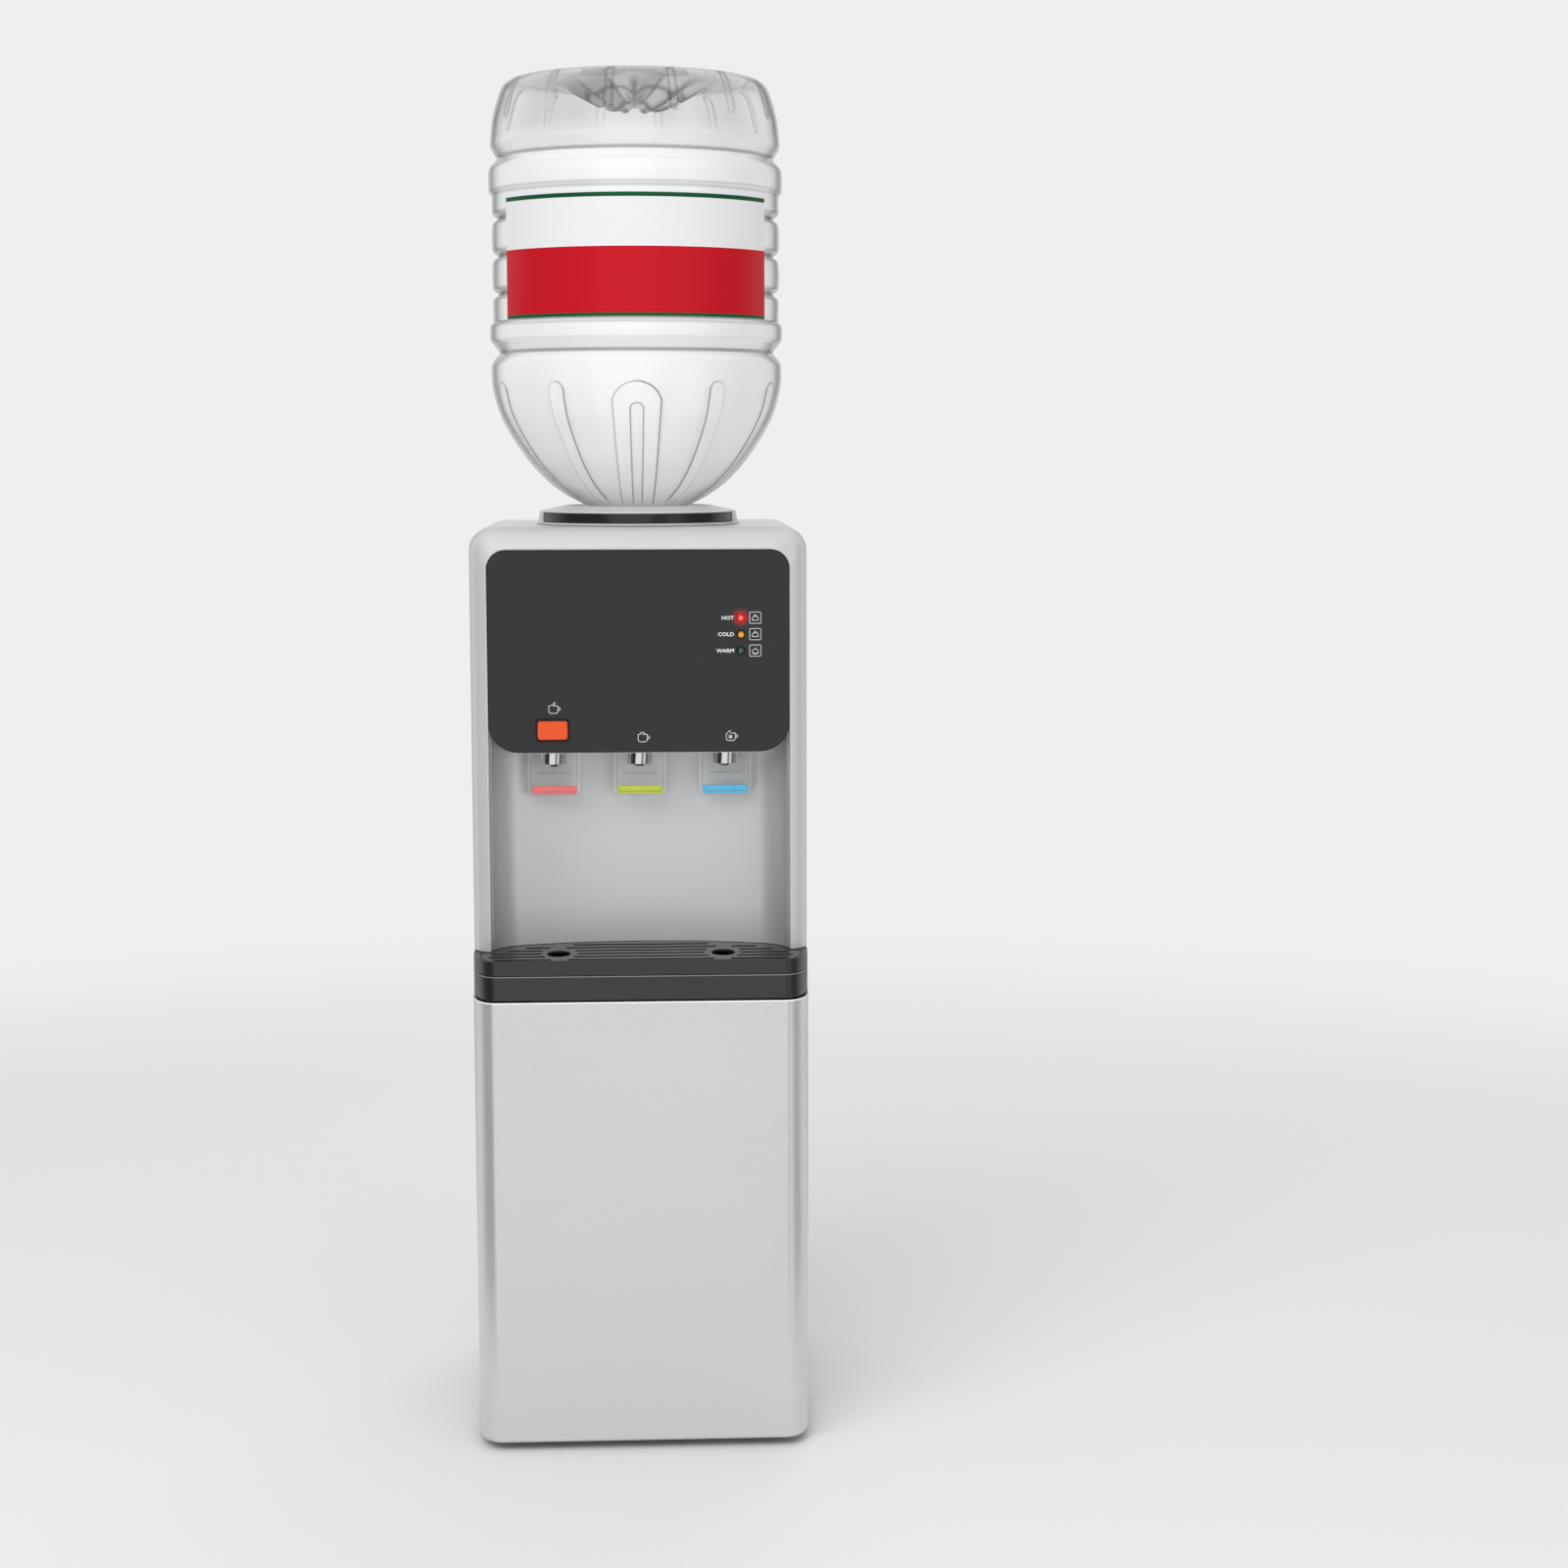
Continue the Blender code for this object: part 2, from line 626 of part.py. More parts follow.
def roll_depth(share):
    """How far behind the front plane the frame's rolled face is, across the bar."""
    left = 1 - share * BAR_WIDTH / ROLL_WIDTH
    return ROLL_DEPTH * (1 - math.sqrt(1 - left * left))


def frame_section():
    """The bar's section as shares of its width from the outside, and depths behind the front."""
    lip_share = LIP_CHAMFER / BAR_WIDTH
    wall_share = WALL / BAR_WIDTH
    shares = [k / ARC_STEPS for k in range(ARC_STEPS)]
    outside = [(0, FRAME_DEPTH)] + [(s, roll_depth(s)) for s in shares]
    outside += [(1 - lip_share, roll_depth(1)), (1, roll_depth(1) + LIP_CHAMFER), (1, FRAME_LIP)]
    inside = [(1 - wall_share, FRAME_LIP), (1 - wall_share, roll_depth(1) + WALL)]
    for s in reversed(shares[1:-1]):
        if wall_share < s < 1 - wall_share:
            inside.append((s, roll_depth(s) + WALL))
    inside += [(wall_share, ROLL_DEPTH), (wall_share, FRAME_DEPTH)]
    return outside + inside


def build_frame():
    """The bent bezel: two columns and a top bar, all of one rolled section."""
    outer_centre = (SIDE_X - FRAME_CORNER, TOP_Z - FRAME_CORNER)
    inner_centre = (BAY_HALF - FRAME_INNER_CORNER, CONTROL_TOP_Z - FRAME_INNER_CORNER)
    outer = arc(outer_centre, (FRAME_CORNER, FRAME_CORNER), 0, 90)
    inner = arc(inner_centre, (FRAME_INNER_CORNER, FRAME_INNER_CORNER), 0, 90)
    stations = [((SIDE_X, BAY_Z), (BAY_HALF, BAY_Z)), *zip(outer, inner)]
    stations += [((-o[0], o[1]), (-i[0], i[1])) for o, i in reversed(stations)]
    rings = []
    for out, into in stations:
        ring = []
        for share, depth in frame_section():
            x = out[0] + (into[0] - out[0]) * share
            z = out[1] + (into[1] - out[1]) * share
            ring.append((x, UPPER_FRONT_Y + depth, z))
        rings.append(ring)
    mesh = bmesh.new()
    add_loft(mesh, rings)
    place("upper_front_frame", mesh, "light_plastic")


def build_control_panel():
    def face(inset, y):
        outline = rounded(
            BAY_HALF - GAP - inset,
            CONTROL_Z + inset,
            CONTROL_TOP_Z - GAP - inset,
            CONTROL_BOTTOM_CORNER - inset,
            FRAME_INNER_CORNER - inset,
        )
        return [(x, y, z) for x, z in outline]

    mesh = bmesh.new()
    edge_y = CONTROL_Y + CONTROL_CHAMFER
    add_loft(mesh, [face(CONTROL_CHAMFER, CONTROL_Y), face(0, edge_y), face(0, CONTROL_REAR_Y)])
    panel = place("control_panel", mesh, "dark_plastic")
    holes = bmesh.new()
    low, high = CONTROL_Y - OVERRUN, CONTROL_REAR_Y + OVERRUN
    add_prism(holes, button_outline(GAP), low, high, "Y")
    for _, z in lamp_places():
        add_turned(holes, disc_profile(LAMP_RADIUS + GAP, low, high), (LAMP_X, 0, z), SMALL_STEPS, "Y")
    cut(panel, holes)


def button_outline(grow):
    z = CONTROL_Z + BUTTON_RISE
    half, rise, corner = BUTTON_WIDTH / 2 + grow, BUTTON_HEIGHT / 2 + grow, BUTTON_CORNER + grow
    return rounded(half, z - rise, z + rise, corner, corner, -TAP_PITCH)


def lamp_places():
    top = CONTROL_Z + LAMP_RISE
    return [(name, top - k * LAMP_PITCH) for k, name in enumerate(("hot", "cold", "warm"))]


def build_button():
    mesh = bmesh.new()
    front = CONTROL_Y - BUTTON_PROUD
    flange = CONTROL_REAR_Y + GAP
    levels = (
        (-BUTTON_CHAMFER, front),
        (0, front + BUTTON_CHAMFER),
        (0, flange),
        (BUTTON_FLANGE, flange),
        (BUTTON_FLANGE, flange + BUTTON_FLANGE_DEPTH),
    )
    add_loft(mesh, [[(x, y, z) for x, z in button_outline(grow)] for grow, y in levels])
    origin = (-TAP_PITCH, front, CONTROL_Z + BUTTON_RISE)
    place("hot_lock_button", mesh, "orange", origin)


def build_lamps():
    looks = {"hot": "lamp_red", "cold": "lamp_amber", "warm": "lamp_green"}
    back = CONTROL_Y + LAMP_DEPTH
    shoulder = CONTROL_Y - LAMP_PROUD / 2
    profile = [(0, CONTROL_Y - LAMP_PROUD), (LAMP_RADIUS / 2, CONTROL_Y - 0.9 * LAMP_PROUD),
               (LAMP_RADIUS * 0.87, shoulder), (LAMP_RADIUS, CONTROL_Y), (LAMP_RADIUS, back), (0, back)]
    for name, z in lamp_places():
        origin = (LAMP_X, CONTROL_Y, z)
        place(f"{name}_lamp", turned(profile, (LAMP_X, 0, z), SMALL_STEPS, "Y"), looks[name], origin)
    heights = [z for _, z in lamp_places()]
    low = (LAMP_X - BOARD_HALF_WIDTH, back + GAP, min(heights) - BOARD_MARGIN)
    high = (LAMP_X + BOARD_HALF_WIDTH, back + GAP + BOARD_THICKNESS, max(heights) + BOARD_MARGIN)
    place("indicator_board", box(low, high), "board_green")


def build_bay():
    front = UPPER_FRONT_Y + FRAME_LIP + GAP
    outline = shell_outline(bay_curve(0, front), bay_curve(-WALL, front))
    place("bay_liner", prism(outline, BAY_Z, CONTROL_Z + LINER_TOP), "bay_plastic")


def hood_outline(inset):
    half, corner = BAY_HALF - GAP - inset, CONTROL_BOTTOM_CORNER + HOOD_LIP - inset
    low, high = HOOD_Z + inset, HOOD_Z + HOOD_RISE
    right = arc((half - corner, low + corner), (corner, corner), 0, -90)
    return [(half, high), *right, *[(-x, z) for x, z in reversed(right)], (-half, high)]


def build_hood():
    """The tray behind the control panel that carries the taps, open above and cut to the bay's wall."""
    outline = shell_outline(hood_outline(0), hood_outline(WALL))
    front = CONTROL_REAR_Y + GAP
    hood = place("tap_hood", prism(outline, front, BAY_BACK_Y, "Y"), "light_plastic")
    away = bmesh.new()
    beyond = BAY_BACK_Y + BAY_DEPTH
    behind = bay_curve(GAP, front - OVERRUN)[1:-1]
    right, left = behind[0], behind[-1]
    behind = [(SIDE_X, beyond), (SIDE_X, right[1]), *behind, (-SIDE_X, left[1]), (-SIDE_X, beyond)]
    add_prism(away, behind, HOOD_Z - OVERRUN, HOOD_Z + HOOD_RISE + OVERRUN)
    cut(hood, away)
    low, high = HOOD_Z - OVERRUN, HOOD_FLOOR_Z + OVERRUN
    slot_low = PADDLE_Y - PADDLE_FORE
    round_holes = bmesh.new()
    slots = bmesh.new()
    for _, x in tap_places():
        hole = disc_profile(NOZZLE_RADIUS + GAP, low, high)
        add_turned(round_holes, hole, (x, TAP_Y, 0), SMALL_STEPS)
        half = PADDLE_NECK + 2 * GAP
        add_box(slots, (x - half, slot_low, low), (x + half, PADDLE_Y + FLOOR_SLOT_BACK, high))
    boolean(hood, helper("cut_nozzle_holes", round_holes), "DIFFERENCE")
    boolean(hood, helper("cut_paddle_slots", slots), "DIFFERENCE")


def tap_places():
    return (("hot", -TAP_PITCH), ("warm", 0.0), ("cold", TAP_PITCH))


def build_tap_body(name, x):
    top = TAP_Z + TAP_HEIGHT
    front = TAP_Y - TAP_FRONT_REACH
    body = place(
        f"{name}_tap_body",
        box((x - TAP_HALF_WIDTH, front, TAP_Z), (x + TAP_HALF_WIDTH, TAP_REAR_Y, top)),
        "light_plastic",
    )
    extras = bmesh.new()
    ear_rear = PIVOT_Y + BARREL_RADIUS
    for side in (-1, 1):
        edges = sorted((x + side * (TAP_HALF_WIDTH - GAP), x + side * (TAP_HALF_WIDTH - EAR_THICKNESS)))
        low = TAP_Z + EAR_THICKNESS / 4
        add_box(extras, (edges[0], TAP_REAR_Y - OVERRUN, low), (edges[1], ear_rear, TAP_Z + EAR_HEIGHT))
    barb = disc_profile(BARB_RADIUS, top - OVERRUN, top + BARB_HEIGHT)
    add_turned(extras, barb, (x, TAP_Y, 0), SMALL_STEPS)
    join(body, extras)
    low, step, high = TAP_Z - OVERRUN, STEM_Z + STEM_RADIUS / 2, top + BARB_HEIGHT + OVERRUN
    duct = [(0, low), (DUCT_RADIUS, low), (DUCT_RADIUS, step), (BARB_BORE, step), (BARB_BORE, high), (0, high)]
    cut(body, turned(duct, (x, TAP_Y, 0), ROUND_STEPS))
    stem_start = PADDLE_Y - GAP - STEM_LENGTH - OVERRUN
    stem = disc_profile(STEM_RADIUS + GAP, stem_start - OVERRUN, TAP_REAR_Y + OVERRUN)
    boolean(body, helper(f"stem_bore_{name}", turned(stem, (x, 0, STEM_Z), SMALL_STEPS, "Y")), "DIFFERENCE")
    pin = disc_profile(SHAFT_RADIUS + GAP, x - TAP_HALF_WIDTH - OVERRUN, x + TAP_HALF_WIDTH + OVERRUN)
    pin_bore = turned(pin, (0, PIVOT_Y, PIVOT_Z), SMALL_STEPS, "X")
    boolean(body, helper(f"pin_bore_{name}", pin_bore), "DIFFERENCE")


def build_nozzle(name, x):
    low, high = CONTROL_Z - NOZZLE_DROP, TAP_Z - GAP
    profile = [
        (NOZZLE_BORE, low),
        (NOZZLE_RADIUS - NOZZLE_CHAMFER, low),
        (NOZZLE_RADIUS, low + NOZZLE_CHAMFER),
        (NOZZLE_RADIUS, high),
        (NOZZLE_BORE, high),
    ]
    mesh = turned(profile, (x, TAP_Y, 0), ROUND_STEPS, closed=True)
    place(f"{name}_nozzle", mesh, "chrome", (x, TAP_Y, low))


def paddle_outline(x):
    """The paddle's front view: a wide plate, a neck through the hood's floor and an arm above."""
    half, neck, arm = PADDLE_WIDTH / 2, PADDLE_NECK, PADDLE_ARM_WIDTH
    low, shoulder = PADDLE_BOTTOM_Z, PADDLE_TOP_Z
    corner = PADDLE_CORNER
    arm_low, arm_high = PIVOT_Z + BARREL_RADIUS / 2, STEM_Z + PADDLE_ARM_ABOVE
    right = arc((half - corner, low + corner), (corner, corner), -90, 0)
    right += arc((half - corner / 2, shoulder - corner / 2), (corner / 2, corner / 2), 0, 90, 3)
    right += [(neck, shoulder), (neck, arm_low), (arm, arm_low), (arm, arm_high)]
    points = right + [(-u, v) for u, v in reversed(right)]
    return [(x + u, v) for u, v in points]


def build_paddle(name, x, look):
    frame = joint_frame(f"{name}_paddle_hinge", (x, PIVOT_Y, PIVOT_Z))
    pivot = (x, PIVOT_Y, PIVOT_Z)
    plate = prism(paddle_outline(x), PADDLE_Y, PADDLE_Y + PADDLE_THICKNESS, "Y")
    paddle = place(f"{name}_paddle", plate, "clear", pivot, frame)
    half = PADDLE_NECK - GAP / 2
    barrel = disc_profile(BARREL_RADIUS, x - half, x + half)
    join(paddle, turned(barrel, (0, PIVOT_Y, PIVOT_Z), SMALL_STEPS, "X"))
    bore = disc_profile(SHAFT_RADIUS + GAP, x - half - OVERRUN, x + half + OVERRUN)
    cut(paddle, turned(bore, (0, PIVOT_Y, PIVOT_Z), SMALL_STEPS, "X"))
    low = PADDLE_BOTTOM_Z + STRIP_RAISE
    outline = rounded(STRIP_WIDTH / 2, low, low + STRIP_HEIGHT, STRIP_CORNER, STRIP_CORNER, x)
    front = PADDLE_Y - GAP - STRIP_THICKNESS
    strip = prism(outline, front, front + STRIP_THICKNESS, "Y")
    place(f"{name}_paddle_strip", strip, look, pivot, frame)


def build_stem(name, x):
    end = PADDLE_Y - GAP
    stem = turned(disc_profile(STEM_RADIUS, end - STEM_LENGTH, end), (x, 0, STEM_Z), SMALL_STEPS, "Y")
    place(f"{name}_valve_stem", stem, "steel", (x, end, STEM_Z))


def build_taps():
    strips = {"hot": "red", "warm": "green", "cold": "blue"}
    for name, x in tap_places():
        build_tap_body(name, x)
        build_nozzle(name, x)
        build_paddle(name, x, strips[name])
        build_stem(name, x)
    end = TAP_PITCH + TAP_HALF_WIDTH + SHAFT_END
    shaft = turned(disc_profile(SHAFT_RADIUS, -end, end), (0, PIVOT_Y, PIVOT_Z), SMALL_STEPS, "X")
    place("paddle_shaft", shaft, "steel", (0, PIVOT_Y, PIVOT_Z))


def grille_outline(inset):
    """The grille in plan: bowed in front, stepped in between the columns, round at the back."""
    front = front_outline(
        inset,
        UPPER_FRONT_Y - COLUMN_CLEARANCE - inset,
        SIDE_X - GRILLE_SIDE_MARGIN,
        GRILLE_CORNER_WIDTH,
        GRILLE_CORNER_DEPTH,
        FRONT_Y + GRILLE_MARGIN,
    )
    back = bay_curve(GRILLE_BACK_GAP + inset, UPPER_FRONT_Y - COLUMN_CLEARANCE - inset)
    return front + back[::-1]


def build_tray():
    outline = front_outline(0, BAY_BACK_Y + TRAY_BACK, SIDE_INNER_X - GAP)
    place_shelf(outline)
    frame = joint_frame("drip_tray_slide", (0, FRONT_Y, TRAY_Z))
    tray = place("drip_tray", prism(outline, TRAY_Z, TRAY_TOP_Z), "dark_plastic", frame.location, frame)
    seat_z = TRAY_TOP_Z - GRILLE_THICKNESS - GAP
    cut(tray, prism(grille_outline(-GRILLE_FIT), seat_z, TRAY_TOP_Z + OVERRUN))
    basin = prism(grille_outline(BASIN_LEDGE), TRAY_Z + TRAY_FLOOR, TRAY_TOP_Z + OVERRUN)
    boolean(tray, helper("cut_basin", basin), "DIFFERENCE")
    build_grille(frame)


def place_shelf(outline):
    """The fixed dark tier under the tray, hollow below."""
    shelf = place("tray_shelf", prism(outline, SHELF_Z, SHELF_TOP_Z), "dark_plastic")
    back = BAY_BACK_Y + TRAY_BACK - WALL
    hollow = prism(front_outline(WALL, back, SIDE_INNER_X - GAP), SHELF_Z - OVERRUN, SHELF_TOP_Z - WALL)
    cut(shelf, hollow)


def build_grille(frame):
    grille = place(
        "drip_grille",
        prism(grille_outline(0), TRAY_TOP_Z - GRILLE_THICKNESS, TRAY_TOP_Z),
        "gloss_black",
        frame.location,
        frame,
    )
    openings = bmesh.new()
    low, high = TRAY_TOP_Z - GRILLE_THICKNESS - OVERRUN, TRAY_TOP_Z + OVERRUN
    first = FRONT_Y + GRILLE_MARGIN + SLOT_FIRST
    for row, spans in enumerate(SLOT_END_SHARES):
        y = first + row * SLOT_PITCH
        for start, stop in spans:
            for sides in ((-1, 1),) if start == 0 else ((-1,), (1,)):
                ends = [side * stop * BAY_HALF for side in sides]
                ends += [side * start * BAY_HALF for side in sides]
                low_y, high_y = y - SLOT_WIDTH / 2, y + SLOT_WIDTH / 2
                add_box(openings, (min(ends), low_y, low), (max(ends), high_y, high))
    y = first + 2 * SLOT_PITCH
    for x in (-FINGER_X, FINGER_X):
        ring = arc((x, y), (FINGER_HALF_WIDTH, FINGER_HALF_DEPTH), 0, 360, ROUND_STEPS)[:-1]
        add_prism(openings, ring, low, high)
    cut(grille, openings)


def build_collar():
    z1 = COLLAR_Z + COLLAR_FOOT
    band_z, band_top = z1 + GAP, z1 + GAP + COLLAR_BAND_HEIGHT
    shoulder = band_top + GAP + COLLAR_EDGE
    body = COLLAR_RADIUS - COLLAR_FOOT_STEP
    ring = [
        (COLLAR_BORE, COLLAR_Z),
        (COLLAR_RADIUS, COLLAR_Z),
        (COLLAR_RADIUS, z1 - COLLAR_FOOT_STEP / 2),
        (body, z1),
        (body - COLLAR_DRAFT, shoulder),
        (COLLAR_SLOPE_RADIUS, COLLAR_TOP_Z),
        (COLLAR_BORE, COLLAR_TOP_Z - COLLAR_EDGE / 2),
    ]
    ring_solid = turned(ring, (0, AXIS_Y, 0), WIDE_STEPS, closed=True)
    collar = place("collar_ring", ring_solid, "light_plastic")
    back = body - COLLAR_DRAFT - COLLAR_BAND_THICKNESS
    groove = band_arc(back - GAP, COLLAR_RADIUS + OVERRUN, COLLAR_BAND_HALF_ANGLE)
    cut(collar, prism(groove, z1, band_top + GAP))
    clear_angle = COLLAR_BAND_HALF_ANGLE - GAP / back
    band = band_arc(back, body - COLLAR_DRAFT - COLLAR_BAND_INSET, clear_angle)
    place("collar_band", prism(band, band_z, band_top), "dark_plastic")


def band_arc(inner, outer, half_angle):
    """A flat ring's front sector in plan."""
    half = math.degrees(half_angle)
    near = arc((0, AXIS_Y), (outer, outer), -90 - half, -90 + half, ROUND_STEPS)
    far = arc((0, AXIS_Y), (inner, inner), -90 - half, -90 + half, ROUND_STEPS)
    return near + far[::-1]


def build_seat():
    outer = COLLAR_BORE - GAP
    throat = THROAT_RADIUS
    lip = SEAT_CONTACT_RADIUS
    seat_z = bottle_base_z() + bottle_rise_at(lip) - GAP
    profile = [
        (throat, SEAT_BOTTOM_Z),
        (throat + GAP, TOP_Z),
        (lip - COLLAR_EDGE, seat_z - COLLAR_EDGE),
        (lip, seat_z),
        (outer, seat_z),
        (outer, COLLAR_Z),
        (outer - SEAT_FLANGE, COLLAR_Z),
        (throat + 2 * WALL, COLLAR_Z - SEAT_FLANGE),
        (throat + WALL, SEAT_BOTTOM_Z),
    ]
    place("bottle_seat", turned(profile, (0, AXIS_Y, 0), WIDE_STEPS, closed=True), "light_plastic")
    top = SEAT_BOTTOM_Z - GAP
    low = top - PROBE_FLANGE
    tip = top + PROBE_RISE
    probe = [
        (0, low),
        (throat + WALL, low),
        (throat + WALL, top),
        (PROBE_RADIUS, top),
        (PROBE_RADIUS, tip - PROBE_TIP),
        (PROBE_RADIUS / 2, tip),
        (0, tip),
    ]
    place("bottle_probe", turned(probe, (0, AXIS_Y, 0), SMALL_STEPS), "light_plastic")


def bottle_base_z():
    """Where the shoulder profile starts: level with the collar's top, less the dip of the seat."""
    return COLLAR_TOP_Z - BOTTLE_WALL


def bottle_rise_at(radius):
    """The height of the shoulder's first stretch above its start, where it has this radius."""
    (low, narrow), (high, wide) = BOTTLE_PROFILE_SHARES[:2]
    share = (radius / BOTTLE_RADIUS - narrow) / (wide - narrow)
    return (low + (high - low) * share) * BOTTLE_HEIGHT


def build_bottle():
    frame = joint_frame("bottle_lift", (0, AXIS_Y, bottle_base_z()))
    base = bottle_base_z()
    neck_end = base - NECK_LENGTH
    shoulder = base - NECK_RADIUS * (BOTTLE_PROFILE_SHARES[0][1] * BOTTLE_RADIUS / NECK_RADIUS - 1) / 2
    bore = NECK_RADIUS - BOTTLE_WALL
    outer = [(NECK_RADIUS, neck_end), (NECK_RADIUS, shoulder)]
    outer += [(r * BOTTLE_RADIUS, base + z * BOTTLE_HEIGHT) for z, r in BOTTLE_PROFILE_SHARES]
    outer.append((0, base + BOTTLE_PROFILE_SHARES[-1][0] * BOTTLE_HEIGHT))
    inner = [(0, base + INNER_PROFILE_SHARES[0][0] * BOTTLE_HEIGHT)]
    inner += [(r * BOTTLE_RADIUS, base + z * BOTTLE_HEIGHT) for z, r in INNER_PROFILE_SHARES]
    inner += [(bore, shoulder + BOTTLE_WALL), (bore, neck_end)]
    profile = outer + inner
    centre = (0, AXIS_Y, 0)
    mesh = turned(profile, centre, ROUND_STEPS, closed=True)
    place("bottle_shell", mesh, "clear", frame.location, frame)
    cap_in, cap_out = NECK_RADIUS + GAP, NECK_RADIUS + GAP + CAP_WALL
    low = neck_end - GAP - CAP_WALL
    cap = [
        (CAP_HOLE, low),
        (cap_out, low),
        (cap_out, low + CAP_HEIGHT),
        (cap_in, low + CAP_HEIGHT),
        (cap_in, low + CAP_WALL),
        (CAP_HOLE, low + CAP_WALL),
    ]
    place("bottle_cap", turned(cap, centre, closed=True), "light_plastic", frame.location, frame)
    build_label(frame, base)


def build_label(frame, base):
    inner = LABEL_RADIUS_SHARE * BOTTLE_RADIUS + GAP
    low = base + LABEL_BOTTOM_SHARE * BOTTLE_HEIGHT
    half = math.degrees(LABEL_HALF_ANGLE)
    rings = []
    for radius in (inner, inner + LABEL_THICKNESS):
        rings.append(arc((0, AXIS_Y), (radius, radius), -90 - half, -90 + half, ROUND_STEPS))
    outline = rings[1] + rings[0][::-1]
    label = prism(outline, low, low + LABEL_HEIGHT_SHARE * BOTTLE_HEIGHT)
    place("bottle_label", label, "label_paper", frame.location, frame)


def dome_profile(shares, radius, low, height):
    """A closed vessel's profile from its shares of height and radius."""
    points = [(r * radius, low + z * height) for z, r in shares]
    return [(0, low), *points, (0, low + height)]


def build_tanks():
    tank_top = SEAT_BOTTOM_Z - PROBE_FLANGE - 2 * GAP
    height = tank_top - TANK_BOTTOM_Z
    centre = (0, AXIS_Y, 0)
    tank = turned(dome_profile(TANK_DOME_SHARES, TANK_RADIUS, TANK_BOTTOM_Z, height), centre)
    place("cold_tank", tank, "steel")
    inner = TANK_RADIUS + GAP
    outer = TANK_RADIUS + FOAM_THICKNESS
    floor = TANK_BOTTOM_Z - GAP
    low = TANK_BOTTOM_Z - FOAM_THICKNESS / 2
    rim = TANK_BOTTOM_Z + height * TANK_DOME_SHARES[3][0]
    jacket = [(0, low), (outer, low), (outer, rim), (inner, rim), (inner, floor), (0, floor)]
    place("tank_insulation", turned(jacket, centre), "foam")
    deck_top = low - GAP
    deck_low = deck_top - DECK_THICKNESS
    edge = SIDE_INNER_X - GAP
    place("tank_deck", box((-edge, DECK_FRONT_Y, deck_low), (edge, DECK_REAR_Y, deck_top)), "black_steel")
    hot_low = deck_low - GAP - HOT_TANK_HEIGHT
    hot = dome_profile(TANK_DOME_SHARES, HOT_TANK_RADIUS, hot_low, HOT_TANK_HEIGHT)
    place("hot_tank", turned(hot, (0, HOT_TANK_Y, 0)), "steel")
    pump = dome_profile(
        COMPRESSOR_SHARES, COMPRESSOR_RADIUS, FOOT_HEIGHT + WALL + GAP, COMPRESSOR_HEIGHT
    )
    place("compressor", turned(pump, (0, COMPRESSOR_Y, 0)), "black_steel")
    return hot_low


def smooth_route(points):
    """Catmull-Rom points through a route, a short step apart, straight at both ends."""
    route = [Vector(p) for p in points]
    made = [route[0]]
    for a, b, c, d in zip(route, route[1:], route[2:], route[3:]):
        count = max(1, round((c - b).length / HOSE_STEP))
        for k in range(count):
            t = k / count
            blend = (2 * b) + (c - a) * t + (2 * a - 5 * b + 4 * c - d) * t * t
            made.append((blend + (3 * b - a - 3 * c + d) * t**3) / 2)
    return [*made, *route[-2:]]


def place_tube(name, points, radius, look, sides=2):
    """A round tube along points, with closed ends."""
    curve = bpy.data.curves.new(name, "CURVE")
    curve.dimensions = "3D"
    curve.bevel_depth = radius
    curve.bevel_resolution = sides
    curve.use_fill_caps = True
    line = curve.splines.new("POLY")
    line.points.add(len(points) - 1)
    for target, point in zip(line.points, points):
        target.co = (*point, 1)
    curve.materials.append(finish(look))
    obj = bpy.data.objects.new(name, curve)
    bpy.context.scene.collection.objects.link(obj)


def build_hoses(hot_low):
    start_z = TAP_Z + TAP_HEIGHT + BARB_HEIGHT + GAP
    rise_z = start_z + HOSE_RISE
    jacket = TANK_RADIUS + FOAM_THICKNESS + GAP
    front = AXIS_Y - jacket
    warm = [
        (0, TAP_Y, start_z),
        (0, TAP_Y, (start_z + rise_z) / 2),
        (0, TAP_Y + HOSE_RISE / 2, HOSE_Z),
        (0, (TAP_Y + front) / 2 + HOSE_STEP / 2, HOSE_Z),
        (0, front, HOSE_Z),
    ]
    place_tube("warm_hose", smooth_route(warm), HOSE_RADIUS, "light_plastic")
    lean = math.atan2(TAP_Y / 2 - AXIS_Y, TAP_PITCH)
    toward = (math.cos(lean), math.sin(lean))
    cold = [
        (TAP_PITCH, TAP_Y, start_z),
        (TAP_PITCH, TAP_Y, (start_z + rise_z) / 2),
        (TAP_PITCH, TAP_Y + HOSE_RISE / 2, HOSE_Z),
        ((jacket + HOSE_RISE) * toward[0], AXIS_Y + (jacket + HOSE_RISE) * toward[1], HOSE_Z),
        (jacket * toward[0], AXIS_Y + jacket * toward[1], HOSE_Z),
    ]
    place_tube("cold_hose", smooth_route(cold), HOSE_RADIUS, "light_plastic")
    side = -(SIDE_INNER_X + jacket) / 2
    behind = DECK_REAR_Y + 3 * HOSE_RADIUS
    port_z = hot_low + HOT_TANK_HEIGHT / 2
    wall = HOT_TANK_RADIUS + GAP
    hot = [
        (-TAP_PITCH, TAP_Y, start_z),
        (-TAP_PITCH, TAP_Y, rise_z),
        (-TAP_PITCH, TAP_Y + HOSE_RISE, HOSE_Z),
        (side, AXIS_Y, HOSE_Z),
        (side, behind, HOSE_Z - HOSE_RISE),
        (side, behind, (HOSE_Z + port_z) / 2),
        (side, (behind + HOT_TANK_Y) / 2, port_z),
        (-wall - HOSE_RISE, HOT_TANK_Y, port_z),
        (-wall, HOT_TANK_Y, port_z),
    ]
    place_tube("hot_hose", smooth_route(hot), HOSE_RADIUS, "light_plastic")


def coil_y():
    return CABINET_DEPTH / 2 - COIL_CLEAR - COIL_RADIUS


